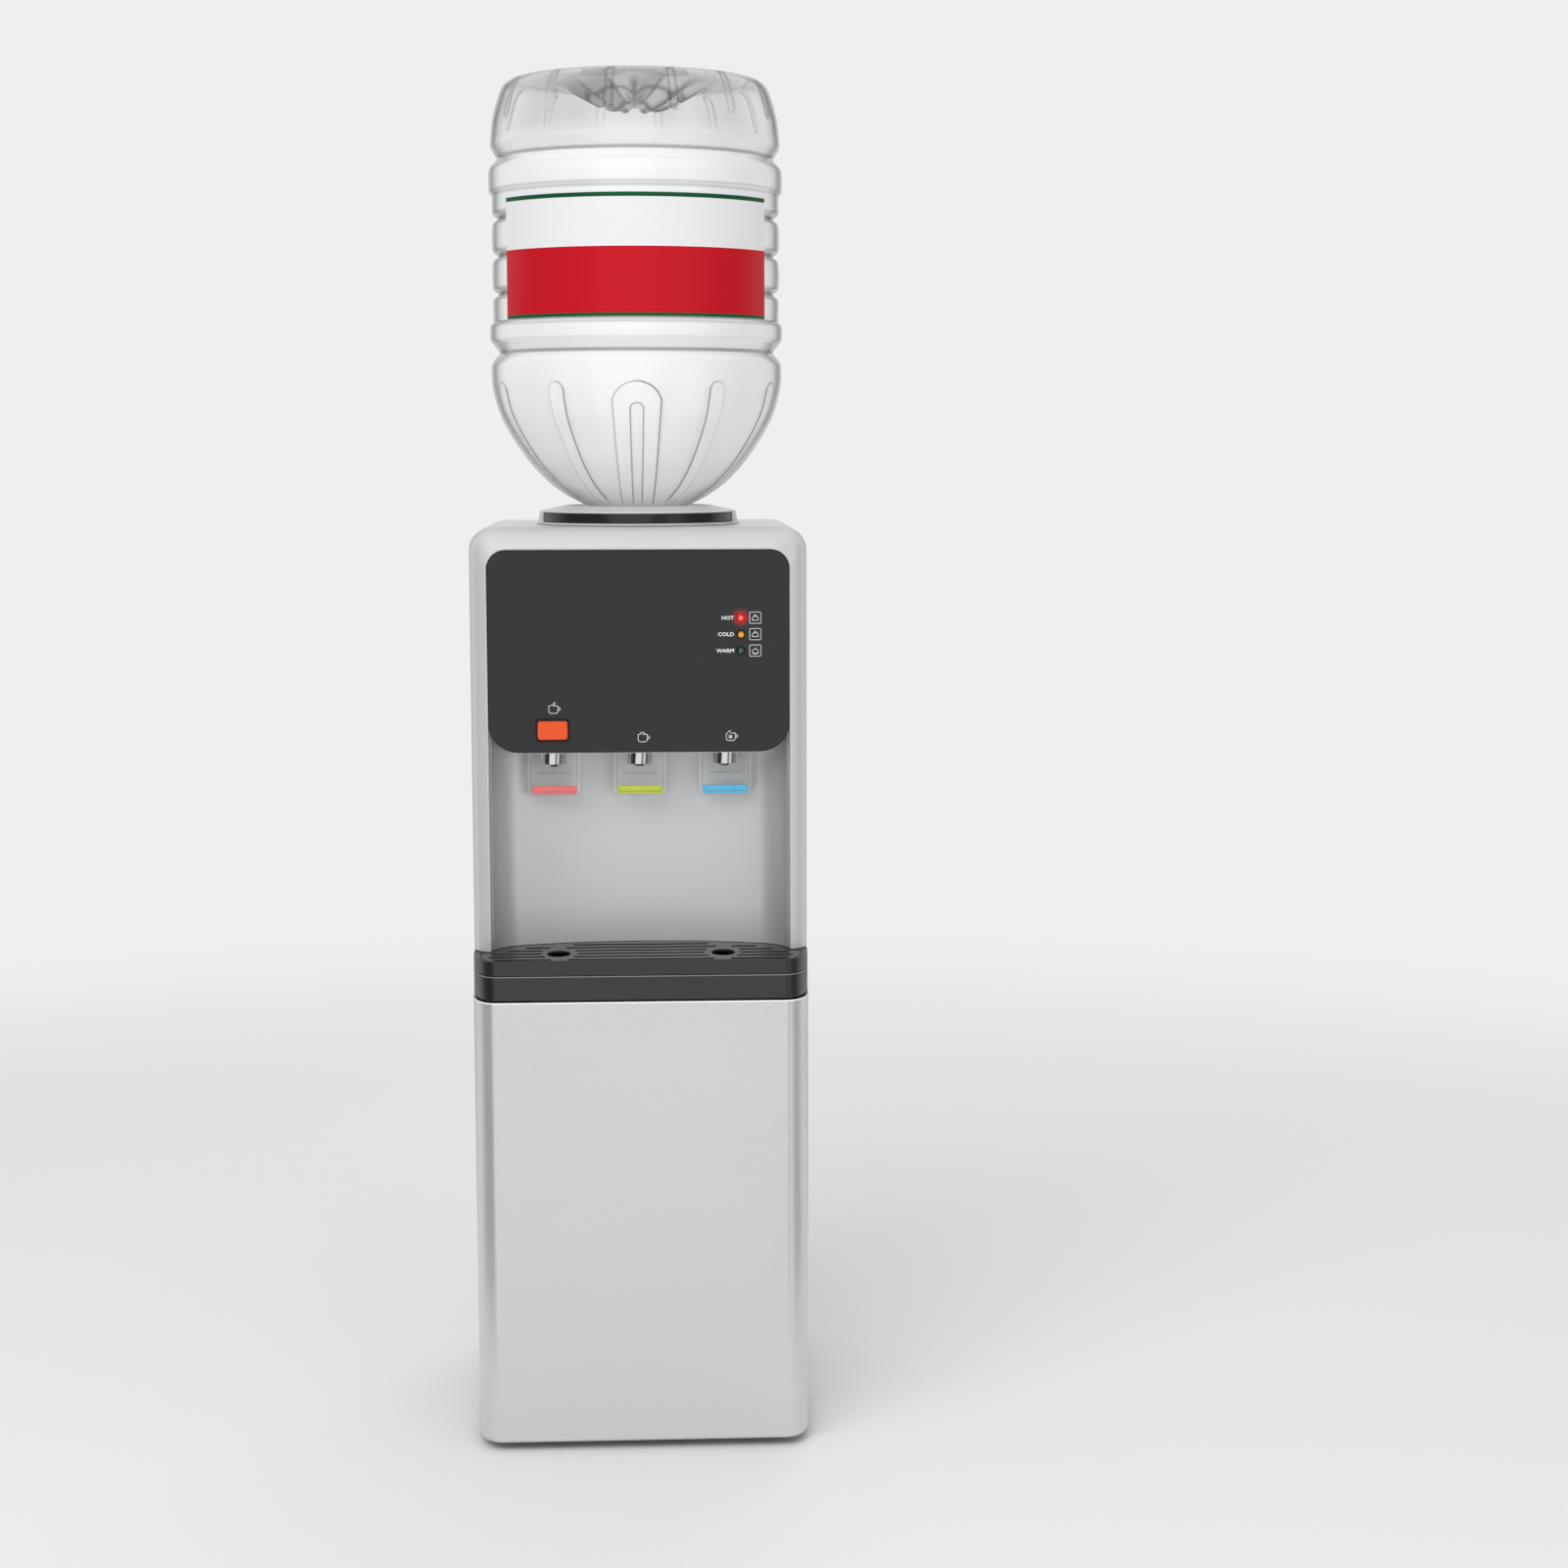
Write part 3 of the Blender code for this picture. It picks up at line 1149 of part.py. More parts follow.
def coil_route():
    """The condenser's runs from side to side, joined by half turns."""
    turn = COIL_PITCH / 2
    points = []
    for run in range(COIL_RUNS):
        z = COIL_BOTTOM_Z + run * COIL_PITCH
        side = 1 if run % 2 == 0 else -1
        edge = COIL_HALF_WIDTH - turn
        points.append((-side * edge, coil_y(), z))
        points.append((side * edge, coil_y(), z))
        if run + 1 < COIL_RUNS:
            bend = arc((side * edge, z + turn), (side * turn, turn), -90, 90, ARC_STEPS)
            points += [(x, coil_y(), height) for x, height in bend[1:-1]]
    return points


def build_condenser():
    place_tube("condenser_coil", coil_route(), COIL_RADIUS, "black_steel")
    front, rear = REAR_Y + GAP, coil_y() - COIL_RADIUS - GAP
    hook_in, hook_out = coil_y() + COIL_RADIUS + GAP, CABINET_DEPTH / 2
    low = COIL_BOTTOM_Z - COIL_RADIUS - GAP
    high = COIL_BOTTOM_Z + (COIL_RUNS - 1) * COIL_PITCH + COIL_RADIUS + GAP
    profile = [
        (front, low - HOOK), (hook_out, low - HOOK), (hook_out, low + HOOK_LENGTH),
        (hook_in, low + HOOK_LENGTH), (hook_in, low), (rear, low),
        (rear, high), (hook_in, high), (hook_in, high - HOOK_LENGTH),
        (hook_out, high - HOOK_LENGTH), (hook_out, high + HOOK), (front, high + HOOK),
    ]
    left, right = -BRACKET_HALF_SPAN - BRACKET_WIDTH / 2, BRACKET_HALF_SPAN - BRACKET_WIDTH / 2
    bracket = place("condenser_bracket", prism(profile, left, left + BRACKET_WIDTH, "X"), "black_steel")
    second = bmesh.new()
    add_prism(second, profile, right, right + BRACKET_WIDTH, "X")
    join(bracket, second)
    middle = (low + high) / 2
    half = BRACKET_HALF_SPAN
    bar = box((-half, front, middle - BRACKET_BAR / 2), (half, (front + rear) / 2, middle + BRACKET_BAR / 2))
    boolean(bracket, helper("bracket_bar", bar), "UNION")


def switch_places():
    return (("hot", SWITCH_X - SWITCH_PITCH / 2), ("cold", SWITCH_X + SWITCH_PITCH / 2))


def build_switches():
    front, rear = REAR_Y + GAP, REAR_Y + BEZEL_DEPTH
    opening_x, opening_z = SWITCH_HALF_WIDTH + GAP, SWITCH_HALF_HEIGHT + SWITCH_OPENING
    half_x = SWITCH_PITCH / 2 + opening_x + BEZEL_MARGIN
    half_z = opening_z + BEZEL_MARGIN
    outline = rounded(half_x, SWITCH_Z - half_z, SWITCH_Z + half_z, BEZEL_MARGIN, BEZEL_MARGIN, SWITCH_X)
    bezel = place("switch_bezel", prism(outline, front, rear, "Y"), "gloss_black")
    openings = bmesh.new()
    pivot_y = REAR_Y + ROCKER_PIVOT
    shape = [(-ROCKER_BACK, -SWITCH_HALF_HEIGHT), (ROCKER_END, -SWITCH_HALF_HEIGHT),
             (ROCKER_CENTRE, 0), (ROCKER_END, SWITCH_HALF_HEIGHT), (-ROCKER_BACK, SWITCH_HALF_HEIGHT)]
    tilt = Matrix.Rotation(ROCKER_TILT, 4, "X")
    for name, x in switch_places():
        add_box(
            openings,
            (x - opening_x, front - OVERRUN, SWITCH_Z - opening_z),
            (x + opening_x, rear + OVERRUN, SWITCH_Z + opening_z),
        )
        rocker = prism(shape, -SWITCH_HALF_WIDTH, SWITCH_HALF_WIDTH, "X")
        bmesh.ops.transform(rocker, matrix=tilt, verts=rocker.verts)
        pivot = Vector((x, pivot_y, SWITCH_Z))
        bmesh.ops.translate(rocker, vec=pivot, verts=rocker.verts)
        place(f"{name}_switch", rocker, "red" if name == "hot" else "light_plastic", pivot)
    cut(bezel, openings)


def build_rear_fittings():
    start, end = REAR_Y + DRAIN_CAP_START, REAR_Y + DRAIN_CAP_END
    bore, bottom = DRAIN_RADIUS + DRAIN_FIT, REAR_Y + DRAIN_LENGTH + DRAIN_FIT
    cap = [(0, bottom), (bore, bottom), (bore, start), (DRAIN_CAP_RADIUS, start), (DRAIN_CAP_RADIUS, end), (0, end)]
    origin = (DRAIN_X, REAR_Y, DRAIN_Z)
    place("drain_cap", turned(cap, (DRAIN_X, 0, DRAIN_Z), SMALL_STEPS, "Y"), "gloss_black", origin)
    front, flange, tip = REAR_Y + GAP, REAR_Y + GLAND_FLANGE, REAR_Y + GLAND_LENGTH
    gland = [
        (GLAND_BORE, front),
        (GLAND_RADIUS, front),
        (GLAND_RADIUS, flange),
        (GLAND_TIP_RADIUS + GLAND_FLANGE / 3, flange),
        (GLAND_TIP_RADIUS, tip),
        (GLAND_BORE, tip),
    ]
    mesh = turned(gland, (GLAND_X, 0, DRAIN_Z), SMALL_STEPS, "Y", closed=True)
    place("cord_gland", mesh, "rubber")


def main():
    clear_scene()
    build_base()
    build_panels()
    build_rear()
    build_top_cover()
    build_frame()
    build_control_panel()
    build_button()
    build_lamps()
    build_bay()
    build_hood()
    build_taps()
    build_tray()
    build_collar()
    build_seat()
    build_bottle()
    hot_low = build_tanks()
    build_hoses(hot_low)
    build_condenser()
    build_switches()
    build_rear_fittings()


main()
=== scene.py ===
import math

import bmesh
import bpy
import numpy as np
from mathutils import Matrix, Vector


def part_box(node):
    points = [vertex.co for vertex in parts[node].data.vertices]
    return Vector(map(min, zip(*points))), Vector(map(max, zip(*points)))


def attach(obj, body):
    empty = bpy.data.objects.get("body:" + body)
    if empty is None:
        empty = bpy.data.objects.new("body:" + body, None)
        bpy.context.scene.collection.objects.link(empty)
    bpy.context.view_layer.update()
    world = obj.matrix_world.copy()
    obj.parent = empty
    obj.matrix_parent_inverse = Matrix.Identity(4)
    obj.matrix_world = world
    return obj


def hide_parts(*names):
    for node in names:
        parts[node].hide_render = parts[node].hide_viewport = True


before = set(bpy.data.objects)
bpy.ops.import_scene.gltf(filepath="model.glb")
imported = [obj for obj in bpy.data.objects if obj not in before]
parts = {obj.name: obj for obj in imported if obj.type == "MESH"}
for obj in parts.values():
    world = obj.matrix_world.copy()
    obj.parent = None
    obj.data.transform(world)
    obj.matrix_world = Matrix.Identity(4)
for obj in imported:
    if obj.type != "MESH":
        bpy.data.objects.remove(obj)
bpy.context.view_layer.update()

print("frame loaded,", len(parts), "parts")


# small tools

def linear(code):
    # sRGB hex to the linear colour the shaders want; any other value stays as it is
    if not str(code).startswith("#"):
        return code
    shares = [int(code[i:i + 2], 16) / 255 for i in (1, 3, 5)]
    return [s / 12.92 if s <= 0.04045 else ((s + 0.055) / 1.055) ** 2.4 for s in shares] + [1.0]


def perMetre(millimetres):
    # texture scale that gives features of this size
    return 1000 / millimetres


def addNode(tree, kind, settings=None, links=None):
    # settings go on a socket of that name or number, on a ramp's stops, or else on the node itself;
    # a link comes from an output, or from a node's first one
    node = tree.nodes.new("ShaderNode" + kind)
    for name, value in (settings or {}).items():
        if isinstance(name, int) or name in node.inputs:
            node.inputs[name].default_value = linear(value)
        elif name == "stops":
            stops = node.color_ramp.elements
            stops.remove(stops[-1])
            for k, (place, colour) in enumerate(value):
                stop = stops.new(place) if k else stops[0]
                stop.position, stop.color = place, linear(colour)
        else:
            setattr(node, name, value)
    for name, source in (links or {}).items():
        tree.links.new(getattr(source, "outputs", [source])[0], node.inputs[name])
    return node


def newMaterial(name, settings):
    # one Principled shader, its plain values set on its own sockets, and each spot's place on the object
    material = bpy.data.materials.new(name)
    material.use_nodes = True
    tree = material.node_tree
    tree.nodes.clear()
    shader = addNode(tree, "BsdfPrincipled", settings)
    addNode(tree, "OutputMaterial", {"name": "output"}, {"Surface": shader})
    return tree, shader, addNode(tree, "TexCoord").outputs["Object"]


def noiseRelief(tree, shader, way, size, detail, strength, depth, rough=0.5):
    # a relief with features of this size in millimetres, which stands up by its depth in metres
    settings = {"Scale": perMetre(size), "Detail": detail, "Roughness": rough}
    noise = addNode(tree, "TexNoise", settings, {"Vector": way})
    bump = addNode(tree, "Bump", {"Strength": strength, "Distance": depth}, {"Height": noise})
    tree.links.new(bump.outputs[0], shader.inputs["Normal"])
    return noise


def overlay(tree, shader, share, under, colour):
    # one more colour comes over the surface's own, as far as the share says
    tint = addNode(tree, "Mix", {"data_type": "RGBA", 7: colour}, {0: share, 6: under})
    tree.links.new(tint.outputs[2], shader.inputs["Base Color"])


def varySurface(tree, shader, share, tones, rough=None, span=(0.3, 0.7)):
    # the colour goes from one tone to the other with the share, and the roughness where the share crosses a span
    if rough:
        wear = addNode(tree, "MapRange", {1: span[0], 2: span[1], 3: rough[0], 4: rough[1]}, {0: share})
        tree.links.new(wear.outputs[0], shader.inputs["Roughness"])
    if tones:
        tint = addNode(tree, "Mix", {"data_type": "RGBA", 6: tones[0], 7: tones[1]}, {0: share}).outputs[2]
        tree.links.new(tint, shader.inputs["Base Color"])
        return tint


def passShadow(tree, shader, colour):
    # light passes through thin walls to the floor, which keeps only a light shadow
    rays = addNode(tree, "LightPath")
    clear = addNode(tree, "BsdfTransparent", {"Color": colour})
    mix = addNode(tree, "MixShader", {}, {0: rays.outputs["Is Shadow Ray"], 1: shader, 2: clear})
    tree.links.new(mix.outputs[0], tree.nodes["output"].inputs["Surface"])


def awayFrom(tree, spot, place):
    # how many metres each spot of the surface is from a place
    offset = addNode(tree, "VectorMath", {"operation": "SUBTRACT", 1: place}, {0: spot})
    return addNode(tree, "VectorMath", {"operation": "LENGTH"}, {0: offset}).outputs["Value"]


def putObject(name, data):
    thing = bpy.data.objects.new(name, data)
    bpy.context.collection.objects.link(thing)
    return thing


def addPiece(name, mesh, material, body, stands=()):
    # a finished piece that rides on a body of the frame
    piece = putObject(name, mesh)
    mesh.materials.clear()
    mesh.materials.append(material)
    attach(piece, body)
    for node in stands:
        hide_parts(node)


def meshFrom(name, points, faces, smooth=True):
    mesh = bpy.data.meshes.new(name)
    mesh.from_pydata([tuple(p) for p in points], [], faces)
    mesh.update()
    bm = bmesh.new()
    bm.from_mesh(mesh)
    bmesh.ops.recalc_face_normals(bm, faces=bm.faces)
    bm.to_mesh(mesh)
    bm.free()
    for face in mesh.polygons:
        face.use_smooth = smooth
    return mesh


# camera, where the photograph was taken from

cameraPlan = {
    "lens": 63.765,
    "sensor": 36,
    "place": (0.0049, -2.5828, 0.8989),
    "down": 6.97,  # degrees
    "turn": 2.88,
    "roll": -0.09,
}


def makeCamera(plan):
    data = bpy.data.cameras.new("photoView")
    data.lens = plan["lens"]
    data.sensor_width = plan["sensor"]
    camera = putObject("photoView", data)
    turns = [(-plan["turn"], "Z"), (90 - plan["down"], "X"), (plan["roll"], "Z")]
    matrix = Matrix.Translation(plan["place"])
    for degrees, axis in turns:
        matrix = matrix @ Matrix.Rotation(math.radians(degrees), 4, axis)
    camera.matrix_world = matrix
    bpy.context.scene.camera = camera


makeCamera(cameraPlan)
print("camera set")


# studio: pale floor, pale surroundings, soft lamps

studioPlan = {
    "floorRadius": 9.0,
    "floorSides": 96,
    "floorColour": "#f2f3f3",
    "farColour": "#eeefef",
    "ambient": 0.62,
    "flag": "#101113",  # dark cards that silver, chrome and gloss show
    "cards": [  # degrees from the front, positive to the right, and how much of the view a card fills there
        (-180, 0.1), (-160, 0.1), (-154, 0.7), (-146, 0.7), (-140, 0.1), (-112, 0.1), (-92, 0.9), (-42, 1.0),
        (-29, 0.0), (14, 0.0), (20, 0.75), (31, 0.75), (38, 0.15), (48, 0.15), (60, 0.85), (94, 0.85),
        (108, 0.1), (140, 0.1), (146, 0.7), (154, 0.7), (160, 0.1), (180, 0.1),
    ],
    "cardsFrom": (0.45, 0.72),  # metres from the middle where the cards start and stand in full on the floor
    "cardsBelow": (0.75, 0.45),  # the cards fade out between these heights of the view, towards the ceiling
    "plainFrom": (1.3, 2.6),  # metres from the middle where the floor runs into the surroundings
    "lamps": [  # name, place, size, watts, aim
        ("keySoftbox", (-1.2, -2.4, 2.7), (2.6, 2.0), 47, (0, 0, 0.65)),
        ("fillSoftbox", (1.3, -2.5, 0.6), (1.8, 1.1), 13, (0, 0, 0.45)),
        ("backSoftbox", (0.6, 2.4, 2.4), (2.0, 1.4), 14, (0, 0, 0.65)),
    ],
}


def cardShare(tree, way, cards):
    # how much dark card stands in this direction, from its bearing, and the direction's height
    split = addNode(tree, "SeparateXYZ", {}, {0: way})
    ahead = addNode(tree, "Math", {"operation": "MULTIPLY", 1: -1.0}, {0: split.outputs[1]})
    bearing = addNode(tree, "Math", {"operation": "ARCTAN2"}, {0: split.outputs[0], 1: ahead})
    place = addNode(tree, "MapRange", {1: -math.pi, 2: math.pi}, {0: bearing})
    stops = [((degrees + 180) / 360, (dark, dark, dark, 1)) for degrees, dark in cards]
    return addNode(tree, "ValToRGB", {"stops": stops}, {0: place}), split.outputs[2]


def seenPart(tree, plan, card, weight):
    # only gloss shows the cards; the camera and clear plastic see plain pale surroundings
    rays = addNode(tree, "LightPath")
    for factor in (rays.outputs["Is Glossy Ray"], weight):
        card = addNode(tree, "Math", {"operation": "MULTIPLY"}, {0: card, 1: factor})
    shown = addNode(tree, "Mix", {"data_type": "RGBA", 6: plan["farColour"], 7: plan["flag"]}, {0: card})
    seen = rays.outputs["Is Camera Ray"]
    for kind in ("Is Glossy Ray", "Is Transmission Ray"):
        links = {0: seen, 1: rays.outputs[kind]}
        seen = addNode(tree, "Math", {"operation": "ADD", "use_clamp": True}, links)
    return card, shown.outputs[2], seen


def makeFloor(plan):
    steps, radius = plan["floorSides"], plan["floorRadius"]
    turns = [2 * math.pi * k / steps for k in range(steps)]
    ring = [(radius * math.cos(a), radius * math.sin(a), 0) for a in turns]
    mesh = meshFrom("studioFloor", ring, [tuple(range(steps))], smooth=False)
    floor = putObject("studioFloor", mesh)
    # painted studio board: matt, so it only takes a soft shadow
    settings = {"Base Color": plan["floorColour"], "Roughness": 0.75, "Specular IOR Level": 0.25}
    tree, shader, spot = newMaterial("paintedBoard", settings)
    noiseRelief(tree, shader, spot, 3, detail=2.0, strength=0.04, depth=0.0004)
    # further out it shows the same pale colour as the surroundings, so no horizon stands behind the object
    flat = addNode(tree, "VectorMath", {"operation": "MULTIPLY", 1: (1, 1, 0)}, {0: spot})
    away = addNode(tree, "VectorMath", {"operation": "LENGTH"}, {0: flat}).outputs["Value"]
    plain = {"interpolation_type": "SMOOTHSTEP", 1: plan["plainFrom"][0], 2: plan["plainFrom"][1]}
    share = addNode(tree, "MapRange", plain, {0: away})
    card = cardShare(tree, spot, plan["cards"])[0]
    near = addNode(tree, "MapRange", {1: plan["cardsFrom"][0], 2: plan["cardsFrom"][1]}, {0: away})
    card, shown, seen = seenPart(tree, plan, card, near)
    share = addNode(tree, "Math", {"operation": "MULTIPLY"}, {0: share, 1: seen})
    share = addNode(tree, "Math", {"operation": "MAXIMUM"}, {0: share, 1: card})
    pale = addNode(tree, "Emission", {"Strength": 1.0}, {"Color": shown})
    mix = addNode(tree, "MixShader", {}, {0: share, 1: shader, 2: pale})
    tree.links.new(mix.outputs[0], tree.nodes["output"].inputs["Surface"])
    mesh.materials.append(bpy.data.materials["paintedBoard"])


def makeWorld(plan):
    world = bpy.data.worlds.new("studioWorld")
    bpy.context.scene.world = world
    world.use_nodes = True
    tree = world.node_tree
    tree.nodes.clear()
    card, height = cardShare(tree, addNode(tree, "TexCoord").outputs["Generated"], plan["cards"])
    low = addNode(tree, "MapRange", {1: plan["cardsBelow"][0], 2: plan["cardsBelow"][1]}, {0: height})
    shown, seen = seenPart(tree, plan, card, low)[1:]
    ambient = addNode(tree, "Background", {"Color": "#ffffff", "Strength": plan["ambient"]})
    far = addNode(tree, "Background", {"Strength": 1.0}, {"Color": shown})
    mix = addNode(tree, "MixShader", {}, {0: seen, 1: ambient, 2: far})
    addNode(tree, "OutputWorld", {}, {"Surface": mix})


def makeLamp(name, spot, size, watts, aim):
    data = bpy.data.lights.new(name, "AREA")
    data.shape = "RECTANGLE"
    data.size, data.size_y = size
    data.energy = watts
    lamp = putObject(name, data)
    lamp.location = spot
    # highlights come from the pale surroundings, as in a light tent
    lamp.visible_glossy = lamp.visible_transmission = False
    lamp.rotation_euler = (Vector(aim) - Vector(spot)).to_track_quat("-Z", "Y").to_euler()


makeFloor(studioPlan)
makeWorld(studioPlan)
for lamp in studioPlan["lamps"]:
    makeLamp(*lamp)
bpy.context.scene.view_settings.view_transform = "Standard"
print("studio set")


# finishes

def mouldedPlastic(name, look):
    # injection-moulded plastic: one colour through, a faint flow shade and the mould's fine spark texture
    rough, grain = look["rough"], look.get("grain", 0.8)
    plain = {"Roughness": rough, "IOR": look.get("ior", 1.53), "Coat Weight": look.get("coat", 0.0),
             "Coat Roughness": 0.1, "Metallic": look.get("metal", 0.0), "Specular IOR Level": look.get("spec", 0.5)}
    tree, shader, spot = newMaterial(name, plain)
    flow = addNode(tree, "TexNoise", {"Scale": perMetre(look.get("flow", 90)), "Detail": 3.0}, {"Vector": spot})
    tones = (look["colour"], look["shade"])
    tint = varySurface(tree, shader, flow, tones, (rough * 0.92, rough * 1.08))
    if "sides" in look:
        # painted shade: the moulding is painted darker towards its upright edges, where the bay's corners take less
        # light
        split = addNode(tree, "SeparateXYZ", {}, {0: spot})
        aside = addNode(tree, "Math", {"operation": "ABSOLUTE"}, {0: split.outputs[0]})
        share = addNode(tree, "MapRange", {1: look["sides"][0], 2: look["sides"][1]}, {0: aside})
        overlay(tree, shader, share, tint, look["sideShade"])
    noiseRelief(tree, shader, spot, grain, detail=4.0, strength=look["bump"], depth=0.0002, rough=0.6)
    return tree, shader, spot


def powderCoat(name, look):
    # powder-coated sheet steel: satin, with a slow orange-peel ripple and a fine silver fleck
    plain = {"IOR": 1.5, "Metallic": look["metal"], "Coat Weight": look["coat"], "Coat Roughness": 0.12}
    tree, shader, spot = newMaterial(name, plain)
    fleck = addNode(tree, "TexVoronoi", {"Scale": perMetre(0.9), "feature": "F1"}, {"Vector": spot})
    share = addNode(tree, "MapRange", {2: 0.9}, {0: fleck.outputs["Distance"]})
    varySurface(tree, shader, share, (look["colour"], look["fleck"]))
    cloud = addNode(tree, "TexNoise", {"Scale": perMetre(70), "Detail": 2.0}, {"Vector": spot})
    varySurface(tree, shader, cloud, None, (look["rough"] - 0.02, look["rough"] + 0.02))
    noiseRelief(tree, shader, spot, 2.5, detail=1.5, strength=0.06, depth=0.0003)


def chromePlate(name, look):
    # chrome-plated brass, polished: near mirror, with faint wipe marks across it
    tree, shader, spot = newMaterial(name, {"Base Color": look["colour"], "Metallic": 1.0})
    wipes = addNode(tree, "TexNoise", {"Scale": perMetre(6), "Detail": 4.0}, {"Vector": spot})
    varySurface(tree, shader, wipes, None, (look["rough"], look["rough"] * 2.4), (0.3, 0.75))


def drawnSteel(name, look):
    # cold-drawn or rolled steel: fine lines along the run, drawn coarser than life so that they show
    tree, shader, spot = newMaterial(name, {"Metallic": 1.0})
    stretch = addNode(tree, "Mapping", {"Scale": look["stretch"]}, {"Vector": spot})
    lines = noiseRelief(tree, shader, stretch, 1.2, detail=3.0, strength=0.08, depth=0.0001)
    varySurface(tree, shader, lines, (look["colour"], look["shade"]), (look["rough"] * 0.8, look["rough"] * 1.2))


def clearPlastic(name, look):
    # clear moulded plastic: thin walls with a faint milky body, and a painted grey shade at the edges where they
    # turn away from the view
    plain = {"Transmission Weight": 1 - look["milk"], "IOR": look["ior"], "Roughness": look["rough"]}
    tree, shader, spot = newMaterial(name, plain)
    turned = addNode(tree, "LayerWeight", {"Blend": look["edge"]})
    varySurface(tree, shader, turned.outputs["Facing"], (look["colour"], look["rim"]))
    noiseRelief(tree, shader, spot, look["ripple"], detail=1.0, strength=look["bump"], depth=0.0004)
    passShadow(tree, shader, look["shadow"])


def glowingPanel(name, look):
    # smooth dark moulding round the lit lamp, with a small red glow round the lamp painted on it, which the panel
    # itself emits
    tree, shader, spot = mouldedPlastic(name, look)
    share = addNode(tree, "MapRange", {1: look["reach"], 2: 0.002}, {0: awayFrom(tree, spot, look["lamp"])})
    fall = addNode(tree, "Math", {"operation": "POWER", 1: 2.6}, {0: share})
    glow = addNode(tree, "Mix", {"data_type": "RGBA", 6: "#000000", 7: look["glow"]}, {0: fall})
    tree.links.new(glow.outputs[2], shader.inputs["Emission Color"])
    shader.inputs["Emission Strength"].default_value = 0.9


def blownBottle(name, look):
    # blown PET: clear round the dome, milky down the wall, with painted shade along the folds and a painted grey
    # edge where the wall turns away from the view
    tree, shader, spot = newMaterial(name, {"IOR": look["ior"], "Roughness": 0.0})
    thin = addNode(tree, "Attribute", {"attribute_name": "thin"})
    clear = addNode(tree, "MapRange", {3: 1 - look["milk"]}, {0: thin.outputs["Fac"]})
    tree.links.new(clear.outputs[0], shader.inputs["Transmission Weight"])
    turned = addNode(tree, "LayerWeight", {"Blend": 0.5})
    edge = addNode(tree, "MapRange", {1: look["edgeFrom"], 2: 0.97}, {0: turned.outputs["Facing"]})
    tint = varySurface(tree, shader, edge, (look["colour"], look["rim"]))
    fold = addNode(tree, "Attribute", {"attribute_name": "fold"})
    overlay(tree, shader, fold.outputs["Fac"], tint, look["folded"])
    noiseRelief(tree, shader, spot, 30, detail=1.0, strength=0.05, depth=0.0004)
    passShadow(tree, shader, look["shadow"])


def lampLens(name, look):
    # tinted acrylic lens over a light-emitting diode: its middle glows hotter than its rim, and the same rings
    # colour its surface, a painted highlight in the middle and painted shade at the rim
    plain = {"Roughness": 0.12, "IOR": 1.49, "Coat Weight": 0.6, "Coat Roughness": 0.05,
             "Emission Strength": look["glow"]}
    tree, shader, spot = newMaterial(name, plain)
    share = addNode(tree, "MapRange", {2: lensReach}, {0: awayFrom(tree, spot, look["centre"])})
    rings = addNode(tree, "ValToRGB", {"stops": look["rings"]}, {0: share})
    for socket in ("Base Color", "Emission Color"):
        tree.links.new(rings.outputs[0], shader.inputs[socket])


def rubber(name, look):
    # moulded rubber: dark, matt, dusty in the pores
    plain = {"Roughness": 0.75, "IOR": 1.52, "Specular IOR Level": 0.35}
    tree, shader, spot = newMaterial(name, plain)
    pores = noiseRelief(tree, shader, spot, 1.5, detail=5.0, strength=0.25, depth=0.0003)
    varySurface(tree, shader, pores, (look["colour"], look["dust"]))


def blownFoam(name, look):
    # blown polyurethane foam: cream skin with cells of two to three millimetres
    tree, shader, spot = newMaterial(name, {"Roughness": 0.85, "IOR": 1.4})
    cells = addNode(tree, "TexVoronoi", {"Scale": perMetre(2.6)}, {"Vector": spot}).outputs["Distance"]
    varySurface(tree, shader, cells, (look["colour"], look["shade"]))
    bump = addNode(tree, "Bump", {"Strength": 0.4, "Distance": 0.0008}, {"Height": cells})
    tree.links.new(bump.outputs[0], shader.inputs["Normal"])


def printedFilm(name, look):
    # printed polypropylene wrap: flat bands of ink under a light gloss, slightly waved where it isn't glued
    plain = {"Roughness": 0.32, "IOR": 1.49, "Specular IOR Level": 0.18}
    tree, shader, spot = newMaterial(name, plain)
    split = addNode(tree, "SeparateXYZ", {}, {0: spot})
    up = addNode(tree, "MapRange", {1: look["low"], 2: look["high"]}, {0: split.outputs[2]})
    bands = addNode(tree, "ValToRGB", {"stops": look["bands"]}, {0: up})
    bands.color_ramp.interpolation = "CONSTANT"
    ink = addNode(tree, "TexNoise", {"Scale": perMetre(0.8), "Detail": 2.0}, {"Vector": spot})
    worn = addNode(tree, "MapRange", {1: 0.2, 2: 0.8, 3: 0.94, 4: 1.04}, {0: ink})
    tint = addNode(tree, "VectorMath", {"operation": "SCALE"}, {0: bands, "Scale": worn})
    tree.links.new(tint.outputs[0], shader.inputs["Base Color"])
    noiseRelief(tree, shader, spot, 24, detail=1.0, strength=0.15, depth=0.001)


